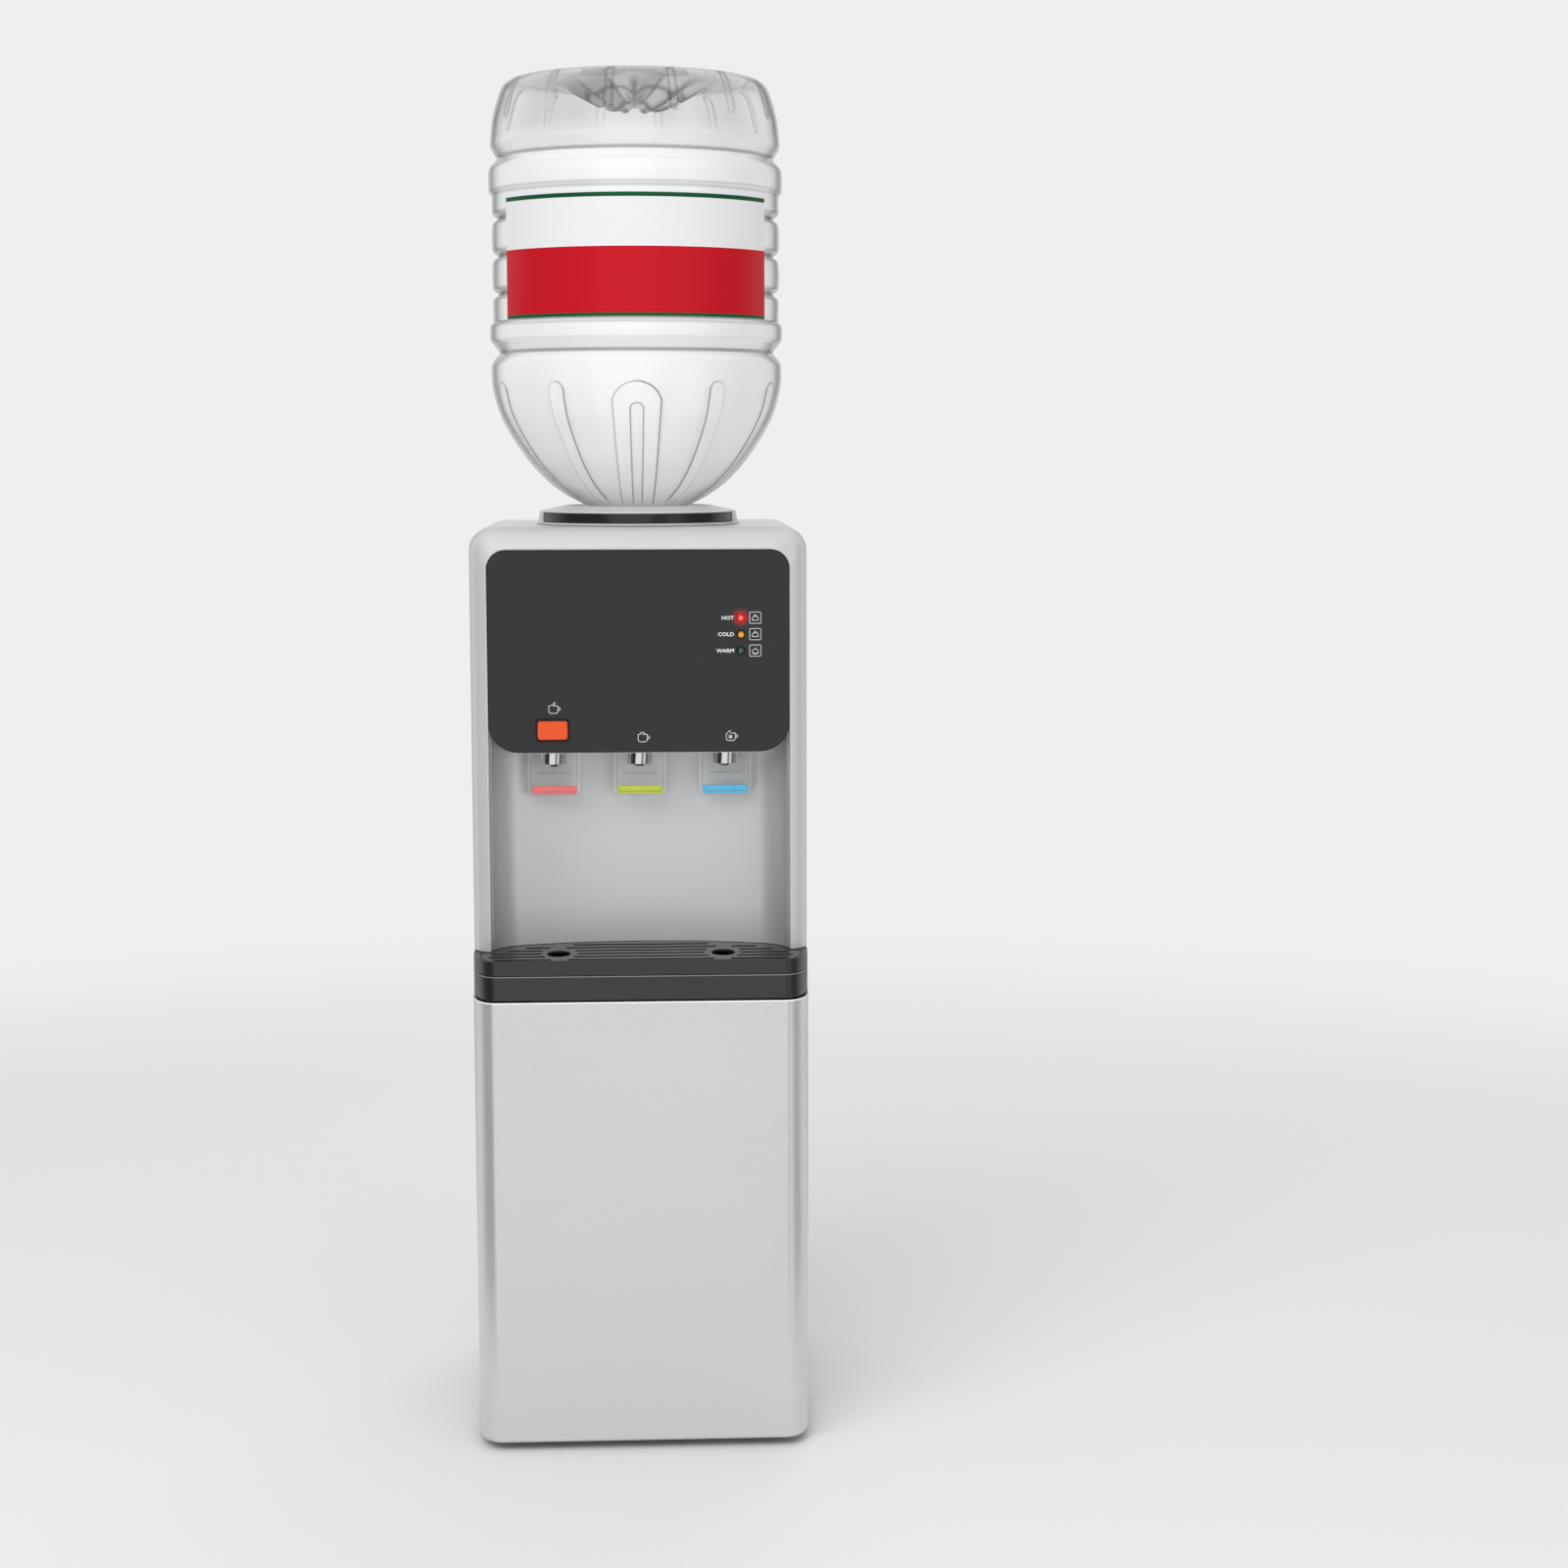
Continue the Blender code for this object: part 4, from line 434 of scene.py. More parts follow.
plasticLooks = {  # colour, shade, roughness, relief, and what else it has
    "silverMouldedAbs": ("#cbcccc", "#d1d2d2", 0.34, 0.03, {"metal": 0.25, "coat": 0.3}),  # a metal fleck's sheen
    "paleMouldedAbs": ("#cfd0d0", "#d6d7d7", 0.32, 0.06, {}),  # plain satin
    "bayMouldedAbs": ("#cacccb", "#cecfce", 0.34, 0.03, {  # silvery, with painted shade towards its sides
        "metal": 0.35, "sides": (0.112, 0.142), "sideShade": "#8f9190"}),
    "darkMouldedAbs": ("#212022", "#262527", 0.30, 0.03, {"spec": 0.55}),  # charcoal with a soft shine
    "glossMouldedAbs": ("#202021", "#262627", 0.16, 0.03, {"spec": 0.35}),  # black that shows the lamps' glow
    "bandMouldedAbs": ("#222426", "#282a2c", 0.16, 0.03, {"spec": 0.4}),  # gloss black, a little cooler
    "orangeMouldedAbs": ("#e04c1d", "#e35423", 0.32, 0.05, {"spec": 0.4, "flow": 20}),  # warm and full in colour
    "redMouldedStyrene": ("#e8696a", "#ea7574", 0.35, 0.08, {"flow": 12}),  # a soft tint under the clear paddle
    "greenMouldedStyrene": ("#b7c832", "#becd43", 0.35, 0.08, {"flow": 12}),
    "blueMouldedStyrene": ("#45b2e0", "#55b9e2", 0.35, 0.08, {"flow": 12}),
    "redMouldedNylon": ("#c4302c", "#cc3b35", 0.32, 0.06, {"flow": 12}),  # deep red satin
    "brightPaintedEdge": ("#f6f6f6", "#fafafa", 0.35, 0.04, {"flow": 30}),  # a painted highlight: a white line of light along the folded top edge
    "greyMouldedEdge": ("#858788", "#8d8f90", 0.36, 0.04, {"flow": 20}),  # a painted highlight along the shelf's top edge, and painted shade lines on the clear paddles
    "recessMouldedAbs": ("#1c0f0c", "#241512", 0.45, 0.05, {"spec": 0.2, "flow": 12}),  # painted shade of the button's gap: nearly black, and warm
    "mouldedPolyethylene": ("#d9dfe4", "#e2e6ea", 0.42, 0.12, {"ior": 1.51}),  # waxy, cool white
    "extrudedSilicone": ("#dcdcd6", "#e4e4de", 0.45, 0.10, {"ior": 1.41, "flow": 15}),  # milky and dull
    "lacqueredBoard": ("#1c6a38", "#257a44", 0.35, 0.20, {"flow": 4}),  # green lacquer over woven glass
    "screenPrintedInk": ("#e9eaea", "#f2f2f2", 0.5, 0.10, {"flow": 3}),  # flat white
}
lensReach = 0.0040  # metres from a lens's middle that its last ring stands for
labelLow, labelHigh = (corner.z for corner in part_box("bottle_label"))
otherLooks = {  # finish: how it is made, and its look; a lens's rings are shares of the reach with their colours
    "silverPowderCoat": (powderCoat, {"colour": "#ced0d0", "fleck": "#d7d8d8", "metal": 0.55, "coat": 0.20,
        "rough": 0.31}),
    "sprayedBlackEnamel": (powderCoat, {"colour": "#1f2021", "fleck": "#2a2b2c", "metal": 0.0, "coat": 0.3,
        "rough": 0.4}),
    "redMouldedAcrylic": (lampLens, {"centre": (0.0906, -0.1208, 0.7463), "glow": 1.0,
        "rings": [(0.0, "#ffe9b0"), (0.20, "#ff9a50"), (0.36, "#f01018"), (1.0, "#b00008")]}),
    "amberMouldedAcrylic": (lampLens, {"centre": (0.0910, -0.1212, 0.7311), "glow": 0.22,
        "rings": [(0.0, "#e8a428"), (0.45, "#d08c12"), (0.75, "#7c4c06"), (1.0, "#2c1c06")]}),
    # the green lamp is nearly unlit: its lighter middle is a painted glint and its dark rim painted shade
    "greenMouldedAcrylic": (lampLens, {"centre": (0.0906, -0.1208, 0.7171), "glow": 0.02,
        "rings": [(0.0, "#2c6a52"), (0.40, "#164634"), (0.75, "#0a2a1e"), (1.0, "#081812")]}),
    "mouldedPolycarbonate": (clearPlastic, {"colour": "#fafbfb", "rim": "#6e7375", "edge": 0.12, "ior": 1.585,
        "rough": 0.02, "ripple": 9, "bump": 0.03, "shadow": "#eceff0", "milk": 0.06}),
    # the panel's painted red glow round the hot lamp: its colour, its reach and the lamp's place
    "panelMouldedAbs": (glowingPanel, {"colour": "#272729", "shade": "#2a2a2c", "rough": 0.20, "spec": 0.28,
        "bump": 0.02, "grain": 0.5, "lamp": (0.0906, -0.1195, 0.7463), "reach": 0.0115, "glow": "#e0101c"}),
    # the near-black colour is painted shade along the folds, and rim a painted grey where the wall turns away
    "blownPet": (blownBottle, {"colour": "#fbfbfb", "rim": "#5c6063", "folded": "#101213", "shadow": "#eef0f1",
        "ior": 1.575, "milk": 0.66, "edgeFrom": 0.60}),
    "chromedBrass": (chromePlate, {"colour": "#e6e7e9", "rough": 0.05}),
    "drawnStainless": (drawnSteel, {"colour": "#b9bbbd", "shade": "#cdcfd0", "rough": 0.37,
        "stretch": (1, 1, 0.05)}),
    "mouldedRubber": (rubber, {"colour": "#17181a", "dust": "#26272a"}),
    "blownFoamSkin": (blownFoam, {"colour": "#e4dfce", "shade": "#d2cbb4"}),
    "printedLabelFilm": (printedFilm, {"low": labelLow, "high": labelHigh, "bands": [
        (0.0, "#0e5535"), (0.026, "#bf1020"), (0.565, "#e3e3e3"), (0.963, "#0c5030")]}),
}

for name, (colour, shade, rough, bump, more) in plasticLooks.items():
    mouldedPlastic(name, {"colour": colour, "shade": shade, "rough": rough, "bump": bump, **more})
for name, (make, look) in otherLooks.items():
    make(name, look)
finishes = bpy.data.materials

taps = ("hot", "warm", "cold")
partsByFinish = {
    "silverPowderCoat": ["lower_front_panel", "left_side_panel", "right_side_panel", "rear_panel"],
    "silverMouldedAbs": ["top_cover", "upper_front_frame"],
    "paleMouldedAbs": ["tap_hood", "collar_ring", "bottle_seat", "bottle_probe", "cold_switch"]
    + [tap + "_tap_body" for tap in taps],
    "bayMouldedAbs": ["bay_liner"],
    "panelMouldedAbs": ["control_panel"],
    "darkMouldedAbs": ["tray_shelf", "drip_tray"],
    "glossMouldedAbs": ["drip_grille", "switch_bezel", "drain_cap"],
    "bandMouldedAbs": ["collar_band"],
    "orangeMouldedAbs": ["hot_lock_button"],
    "redMouldedNylon": ["hot_switch"],
    "redMouldedAcrylic": ["hot_lamp"], "amberMouldedAcrylic": ["cold_lamp"], "greenMouldedAcrylic": ["warm_lamp"],
    "redMouldedStyrene": ["hot_paddle_strip"], "greenMouldedStyrene": ["warm_paddle_strip"],
    "blueMouldedStyrene": ["cold_paddle_strip"],
    "mouldedPolycarbonate": [tap + "_paddle" for tap in taps],
    "chromedBrass": [tap + "_nozzle" for tap in taps],
    "drawnStainless": ["paddle_shaft", "cold_tank", "hot_tank"] + [tap + "_valve_stem" for tap in taps],
    "lacqueredBoard": ["indicator_board"],
    "blownPet": ["bottle_shell"],
    "mouldedPolyethylene": ["bottle_cap"],
    "printedLabelFilm": ["bottle_label"],
    "blownFoamSkin": ["tank_insulation"],
    "extrudedSilicone": [tap + "_hose" for tap in taps],
    "sprayedBlackEnamel": ["base_pan", "tank_deck", "compressor", "condenser_coil", "condenser_bracket"],
    "mouldedRubber": ["foot_front_left", "foot_front_right", "foot_rear_left", "foot_rear_right", "cord_gland"],
}
for finish, names in partsByFinish.items():
    for name in names:
        mesh = parts[name].data
        mesh.materials.clear()
        mesh.materials.append(finishes[finish])
        mesh.shade_smooth()
print("finishes on", sum(len(names) for names in partsByFinish.values()), "parts")

# moulded and pressed edges are eased a little, so they catch a line of light
easePlan = {
    "shared": 0.00001,  # corners closer than this are one
    "flat": 0.4,  # degrees under which neighbouring facets count as one plane
    "easeOver": 50,  # degrees over which an edge is eased
    "rings": 3,
    "sharpOver": 34,  # degrees over which an edge stays sharp in the shading
    "widths": {
        0.0015: ["lower_front_panel"],
        0.0013: ["tray_shelf"],
        0.0009: ["drip_tray"],
        0.0006: ["upper_front_frame", "left_side_panel", "right_side_panel", "rear_panel"]
        + [tap + "_paddle" for tap in taps],
        0.0005: ["control_panel", "collar_ring"],
        0.0004: ["drip_grille"],
        0.0003: ["collar_band"] + [tap + "_paddle_strip" for tap in taps],
    },
}


def easeEdges(plan):
    # corners are shared first, then edges eased, and what is still sharp is split, so that rounds shade smooth
    widths = {name: width for width, names in plan["widths"].items() for name in names}
    for name, part in parts.items():
        part.modifiers.new("sharedCorners", "WELD").merge_threshold = plan["shared"]
        if name in widths:
            runs = part.modifiers.new("flatRuns", "DECIMATE")
            runs.decimate_type = "DISSOLVE"
            runs.angle_limit = math.radians(plan["flat"])
            bevel = part.modifiers.new("easedEdge", "BEVEL")
            bevel.width = widths[name]
            bevel.segments = plan["rings"]
            bevel.limit_method = "ANGLE"
            bevel.angle_limit = math.radians(plan["easeOver"])
            bevel.use_clamp_overlap = False
        split = part.modifiers.new("sharpEdges", "EDGE_SPLIT")
        split.split_angle = math.radians(plan["sharpOver"])
        split.use_edge_sharp = False
        part.modifiers.new("flatFaces", "WEIGHTED_NORMAL").keep_sharp = True
    print("edges eased on", len(widths), "parts")


easeEdges(easePlan)


# bottle: blown shell with ribs, shoulder tongues, dome flutes and a folded base

bottlePlan = {
    "radius": 0.1346,
    "height": 0.3875,
    "foot": 0.8413,  # where the shoulder starts, level with the seat
    "neckRadius": 0.0275,
    "neckLength": 0.060,
    "neckRows": 6,
    "wall": 0.0007,
    "axisY": 0.012,
    "profile": [  # share of the height, share of the radius
        (0.000, 0.335), (0.051, 0.568), (0.103, 0.722), (0.168, 0.856), (0.224, 0.940),
        (0.283, 0.985), (0.333, 0.990), (0.350, 0.966), (0.364, 0.934), (0.378, 0.960),
        (0.394, 0.994), (0.426, 0.996), (0.436, 0.974), (0.486, 0.973), (0.501, 0.937),
        (0.515, 0.973), (0.574, 0.973), (0.589, 0.937), (0.603, 0.973), (0.661, 0.973),
        (0.675, 0.937), (0.690, 0.973), (0.728, 0.974), (0.740, 0.994), (0.787, 0.993),
        (0.803, 0.960), (0.815, 0.937), (0.830, 0.962), (0.847, 0.981), (0.903, 0.966),
        (0.950, 0.931), (0.977, 0.900), (0.990, 0.862), (0.997, 0.800), (0.998, 0.680),
        (0.996, 0.540), (0.990, 0.450), (0.972, 0.350), (0.952, 0.240), (0.940, 0.130), (0.938, 0.045),
    ],
    # the grey of each tongue, flute, petal and rib line below is painted shade along an edge of the relief
    "loops": 11,  # tongues round the shoulder, the front one wide with a sunk middle
    "loopTop": 0.292,
    "loopHalf": 0.0078,
    "loopRise": 0.0010,
    "loopEdge": 0.0005,  # half the width over which a tongue's edge rises
    "loopFold": (0.46, 0.0006),  # how dark the painted shade along a tongue's edge is, and half the width of that line
    "loopFlank": (0.2, 0.004),  # how much more painted shade one flank gets, and how soon it turns to that from the middle
    "loopTaper": (0.45, 0.16),  # how much narrower the tongues get, over this way down the shoulder
    "loopFade": 0.03,  # share of the height over which they come up at the neck
    "frontHalf": 0.0228,
    "frontRise": 1.35,  # times the other tongues' rise
    "frontFold": 0.62,
    "frontInner": 0.0064,
    "innerDrop": 0.019,  # how far the front tongue's inner loop starts below its top
    "innerFold": (0.62, 0.0005),
    "columnGap": 0.0004,  # between the columns of points along a tongue's edge
    "columnsIn": (17, 5),  # inside the front tongue's edge and the others'
    "columnsOut": 2,
    "flutes": 14,
    "fluteTurn": 15.4,  # degrees from the front, towards the right
    "fluteSpan": (0.905, 0.990),
    "fluteHalf": 0.0030,
    "fluteDepth": 0.0017,
    "fluteEdge": (-0.0006, 0.0010),
    "fluteFold": (0.44, 0.0007),
    "fluteCrowd": 1.9,  # how much the columns crowd towards a flute's middle
    "drift": (0.01, 0.02),  # how far above the tongues and below the flutes the columns go from one to the other
    "petals": 7,
    "petalInner": (0.004, 0.022),  # radii over which the petals come up round the middle
    "petalOuter": (0.052, 0.078),  # and go down again towards the rim
    "petalDepth": (0.0080, 0.0052),  # from valley to crown, and how far the valleys lie below the plain base
    "crease": (0.0020, 0.040, 0.060),  # height of the crease on each flank, and the radii over which it ends
    "petalFold": (0.25, 0.8, 0.02),  # width of the painted shade line in each valley, how dark the crown's line is, and its width
    "petalShade": (0.45, 0.05, 0.45),  # how dark the painted shade on one flank of each petal is, and where on it that sets in
    "baseRings": [(0.016, 0.0030, 1.0), (0.043, 0.0026, 0.8)],  # radius, half width, and how dark the painted shade line there is
    "ribSpan": (0.30, 0.90),
    "ribBend": (110, 200),  # the bend per metre where a rib starts to draw painted shade, and how much more draws it in full
    "ribLine": 0.5,
    "clearMost": 0.9,
    "clearFrom": (1.152, 1.186),  # heights between which the dome's wall gets thin and clear
    "milkBase": (0.066, 0.112),  # the base is milky inside the first radius and clear from the second
    "domeInside": 0.09,  # radius that parts the base from the dome
    "rimFrom": 0.93,  # share of the height
    "loopBelt": (-0.0260, 0.0015),  # from the tongues' tops, where the rows stand close
    "fluteBelt": 0.004,  # each side of the flutes' ends
    "rowGaps": {"loopTops": 0.0007, "fluteEnds": 0.0008, "base": 0.0018, "rim": 0.0020, "low": 0.0030,
                "high": 0.0014},
}


def smoothProfile(points, stepFor):
    # a rounded line through the points, kept from overshooting at the ribs
    ease, most, least = 0.42, 1.1, 0.35  # of the slope, of the reach, and of a step at the end
    result = []
    for i in range(len(points) - 1):
        p0 = Vector(points[max(i - 1, 0)])
        p1, p2 = Vector(points[i]), Vector(points[i + 1])
        p3 = Vector(points[min(i + 2, len(points) - 1)])
        reach = (p2 - p1).length
        starts = []
        for slope in ((p2 - p0) * ease, (p3 - p1) * ease):
            starts.append(slope.normalized() * min(slope.length, reach * most))
        t = 0.0
        while t < 1:
            h = (2 * t**3 - 3 * t**2 + 1, t**3 - 2 * t**2 + t, -2 * t**3 + 3 * t**2, t**3 - t**2)
            point = p1 * h[0] + starts[0] * h[1] + p2 * h[2] + starts[1] * h[3]
            result.append(point)
            t += stepFor(point) / reach
            if 1 - t < least * stepFor(point) / reach:
                break
    result.append(Vector(points[-1]))
    return np.array([tuple(p) for p in result])


def ramp01(value, low, high):
    # rises smoothly from 0 to 1 between two values
    t = np.clip((value - low) / (high - low), 0, 1)
    return t * t * (3 - 2 * t)


def greyLine(distance, width):
    # 1 on the line, and gone about two widths away from it
    return np.exp(-(distance / width) ** 2)


def arcAcross(turn, centre, r):
    # how far round the bottle a point is from a centre line, in metres
    return ((turn - centre + math.pi) % (2 * math.pi) - math.pi) * r


def edgeColumns(half, gap, inside, outside, limit):
    # places across one tongue: close together where its edge rises, loose elsewhere
    near = [half + gap * k for k in (-2.2, -1.0, -0.5, 0.0, 0.5, 1.0, 2.2)]
    middle = [near[0] * (k + 0.5) / (inside + 0.5) for k in range(inside)]
    beyond = [near[-1] + (limit - near[-1]) * (k + 0.5) / outside for k in range(outside)]
    right = middle + near + beyond
    return [-x for x in reversed(right)] + right


def tongueColumns(plan, r, taper):
    # places round the bottle that follow the shoulder's tongues
    pitch, gap, outside = 2 * math.pi / plan["loops"], plan["columnGap"], plan["columnsOut"]
    limit = pitch * r / 2
    columns = []
    for k in range(plan["loops"]):
        if k == 0:
            outer = edgeColumns(plan["frontHalf"] * taper, gap, plan["columnsIn"][0], outside, limit)
            inner = [plan["frontInner"] * taper + gap * n for n in (-2.2, -0.8, 0.0, 0.8, 2.2)]
            places = sorted(outer + inner + [-x for x in inner])
        else:
            places = edgeColumns(plan["loopHalf"] * taper, gap, plan["columnsIn"][1], outside, limit)
        columns += [k * pitch + x / r for x in places]
    return np.array(columns)


def fluteColumns(plan, count, near):
    # as many places, which follow the dome's flutes and start next to the tongues' first one
    pitch, each = 2 * math.pi / plan["flutes"], count // plan["flutes"]
    columns = []
    for k in range(plan["flutes"]):
        size = each + (1 if k < count - each * plan["flutes"] else 0)
        half = (size - 1) // 2
        spread = [math.copysign(abs(n / half) ** plan["fluteCrowd"], n) * 0.5 for n in range(-half, size - half)]
        spread = [w / max(1.0, (spread[-1] - spread[0]) * size / (size - 1)) for w in spread]
        columns += [math.radians(plan["fluteTurn"]) + (k + w) * pitch for w in spread]
    columns = np.sort(np.array(columns))
    start = np.argmin(np.abs(columns - near))
    columns = np.concatenate([columns[start:], columns[:start] + 2 * math.pi])
    return columns - round((columns[0] - near) / (2 * math.pi)) * 2 * math.pi


def shoulderLoops(plan, share, r, s, turn, topS, taper):
    # raised tongues that run down the shoulder to the neck
    down, edge = topS - s, plan["loopEdge"]
    rise, fold = np.zeros(turn.shape), np.zeros(turn.shape)

    def tongue(across, start, half):
        cap = np.hypot(across, np.minimum(down - start - half, 0)) - half
        body = np.abs(across) - half * taper
        return np.where(down - start < half, np.maximum(cap, body), body)

    for k in range(plan["loops"]):
        front = k == 0
        across = arcAcross(turn, k * 2 * math.pi / plan["loops"], r)
        outer = tongue(across, 0, plan["frontHalf"] if front else plan["loopHalf"])
        rise += plan["loopRise"] * (plan["frontRise"] if front else 1.0) * ramp01(-outer, -edge, edge)
        grey, width = plan["loopFold"]
        flank, start = plan["loopFlank"]
        facing = 1 if front or k > plan["loops"] / 2 else -1  # the flank that gets more painted shade
        grey = (plan["frontFold"] if front else grey) + flank * facing * np.tanh(across / start)
        fold = np.maximum(fold, grey * greyLine(outer, width))
        if front:
            inner = tongue(across, plan["innerDrop"], plan["frontInner"])
            rise -= plan["frontRise"] * plan["loopRise"] * ramp01(-inner, -edge, edge)
            grey, width = plan["innerFold"]
            fold = np.maximum(fold, grey * greyLine(inner, width))
    fade = ramp01(share, 0.0, plan["loopFade"])
    return rise * fade, fold * fade


def domeFlutes(plan, r, s, turn, lowS, highS):
    # short pressed flutes from the rim down the dome
    rise, fold = np.zeros(turn.shape), np.zeros(turn.shape)
    beyond = np.maximum(0, np.maximum(lowS - s, s - highS))
    grey, width = plan["fluteFold"]
    for k in range(plan["flutes"]):
        centre = math.radians(plan["fluteTurn"] + k * 360 / plan["flutes"])
        edge = np.hypot(arcAcross(turn, centre, r), beyond) - plan["fluteHalf"]
        rise -= plan["fluteDepth"] * ramp01(-edge, *plan["fluteEdge"])
        fold = np.maximum(fold, grey * greyLine(edge, width))
    return rise, fold


def basePetals(plan, r, s, turn, rimS):
    # the pushed-in base folds into petals with sharp valleys between them
    near, far = plan["petalOuter"]
    inside = ramp01(-r, -far, -near) * ramp01(r, *plan["petalInner"]) * (s > rimS)
    wave = np.abs(np.sin(turn * plan["petals"] / 2))
    flank = np.sin(turn * plan["petals"])
    height, near, far = plan["crease"]
    crown, sunk = plan["petalDepth"]
    rise = inside * (crown * wave - sunk + height * np.abs(flank) * ramp01(-r, -far, -near))
    valley, crownGrey, crownWidth = plan["petalFold"]
    lines = greyLine(wave, valley) + crownGrey * greyLine(1 - wave, crownWidth)
    grey, low, high = plan["petalShade"]
    rings = sum(dark * greyLine(r - place, width) for place, width, dark in plan["baseRings"])
    fold = np.clip(inside * np.maximum(lines, grey * ramp01(flank, low, high)) + rings * (s > rimS), 0, 1)
    return rise, fold


def skinFaces(rows, columns):
    # an outer and an inner skin, each closed by a pole at the base, joined round the neck's rim
    size = rows * columns
    faces = []
    for number in (0, 1):
        for i in range(rows):
            a = number * size + i * columns
            for j in range(columns):
                k = (j + 1) % columns
                face = (a + j, a + k, a + columns + k, a + columns + j)
                if i == rows - 1:
                    face = (a + j, a + k, 2 * size + number)
                faces.append(face[::-1] if number else face)
    for j in range(columns):
        k = (j + 1) % columns
        faces.append((j, size + j, size + k, k))
    return faces


def buildBottle(plan):
    foot, height, scale, gaps = plan["foot"], plan["height"], plan["radius"], plan["rowGaps"]
    points = [(r * scale, foot + z * height) for z, r in plan["profile"]]
    loopZ = foot + plan["loopTop"] * height
    fluteZ = [foot + share * height for share in plan["fluteSpan"]]

    def stepFor(point):
        r, z = point
        if plan["loopBelt"][0] < z - loopZ < plan["loopBelt"][1]:
            return gaps["loopTops"]
        if min(abs(z - end) for end in fluteZ) < plan["fluteBelt"] and r > plan["domeInside"]:
            return gaps["fluteEnds"]
        if z > fluteZ[1] and r < plan["domeInside"]:
            return gaps["base"]
        if (z - foot) / height > plan["rimFrom"]:
            return gaps["rim"]
        return gaps["low"] if z < loopZ else gaps["high"]

    line = smoothProfile(points, stepFor)
    neckTop = foot - (points[0][0] - plan["neckRadius"]) / 2
    neck = [(plan["neckRadius"], z) for z in np.linspace(foot - plan["neckLength"], neckTop, plan["neckRows"])]
    line = np.vstack([neck, line])
    s = np.concatenate([[0], np.cumsum(np.hypot(*np.diff(line, axis=0).T))])
    along = np.gradient(line, s, axis=0)
    along /= np.linalg.norm(along, axis=1)[:, None]
    outward = np.column_stack([along[:, 1], -along[:, 0]])
    r, z = line[:, 0], line[:, 1]
    share = (z - foot) / height
    rising = np.argmax(z)
    topS, lowS, highS = (np.interp(up, z[:rising], s[:rising]) for up in (loopZ, *fluteZ))
    rimS = s[rising]
    less, over = plan["loopTaper"]
    taper = 1 - less * np.clip((topS - s) / over, 0, 1)

    # columns drift from the tongues' places to the flutes' places on the plain belt between
    turns = []
    for i in range(len(s)):
        tongues = tongueColumns(plan, max(r[i], 0.045) if s[i] < topS + 0.05 else scale, taper[i])
        flutes = fluteColumns(plan, len(tongues), tongues[0])
        drift = ramp01(s[i], topS + plan["drift"][0], lowS - plan["drift"][1])
        turns.append(tongues * (1 - drift) + flutes * drift)
    turn = np.array(turns)
    r, z, sColumn = r[:, None], z[:, None], s[:, None]
    reliefs = [shoulderLoops(plan, share[:, None], r, sColumn, turn, topS, taper[:, None]),
               domeFlutes(plan, r, sColumn, turn, lowS, highS), basePetals(plan, r, sColumn, turn, rimS)]
    rise = sum(relief[0] for relief in reliefs)
    bend = np.abs(np.gradient(np.unwrap(np.arctan2(along[:, 1], along[:, 0])), s))
    start, more = plan["ribBend"]
    ribbed = (share > plan["ribSpan"][0]) & (share < plan["ribSpan"][1])
    ribs = np.where(ribbed, np.clip((bend - start) / more, 0, 1) * plan["ribLine"], 0)
    fold = np.maximum(np.maximum.reduce([relief[1] for relief in reliefs]), ribs[:, None])
    skins = []
    for drop in (0.0, plan["wall"]):
        rr = np.minimum(r + outward[:, :1] * (rise - drop), scale - drop)
        zz = np.minimum(z + outward[:, 1:] * (rise - drop), foot + height - drop)
        skins.append(np.stack([rr * np.sin(turn), plan["axisY"] - rr * np.cos(turn), zz], axis=-1))
    poles = [[0, plan["axisY"], skin[-1, :, 2].mean()] for skin in skins]
    vertices = np.vstack([skins[0].reshape(-1, 3), skins[1].reshape(-1, 3), poles])
    mesh = bpy.data.meshes.new("bottleBlown")
    mesh.from_pydata(vertices.tolist(), [], skinFaces(*turn.shape))
    mesh.update()
    mesh.polygons.foreach_set("use_smooth", [True] * len(mesh.polygons))
    base, dome = ramp01(r, *plan["milkBase"]), ramp01(z, *plan["clearFrom"])
    thin = plan["clearMost"] * np.where(sColumn > rimS, base, dome) + 0 * turn
    for name, value in (("fold", fold), ("thin", thin)):
        values = np.concatenate([value.ravel(), value.ravel(), value[-1, :1], value[-1, :1]])
        mesh.attributes.new(name, "FLOAT", "POINT").data.foreach_set("value", values.astype(np.float32))
    print("bottle mesh", turn.shape[0], "rows of", turn.shape[1], "columns")
    addPiece("bottle_blown_shell", mesh, finishes["blownPet"], "bottle", ["bottle_shell"])


buildBottle(bottlePlan)
print("bottle blown")


# the print on the control panel: words, squares and cup signs in white ink

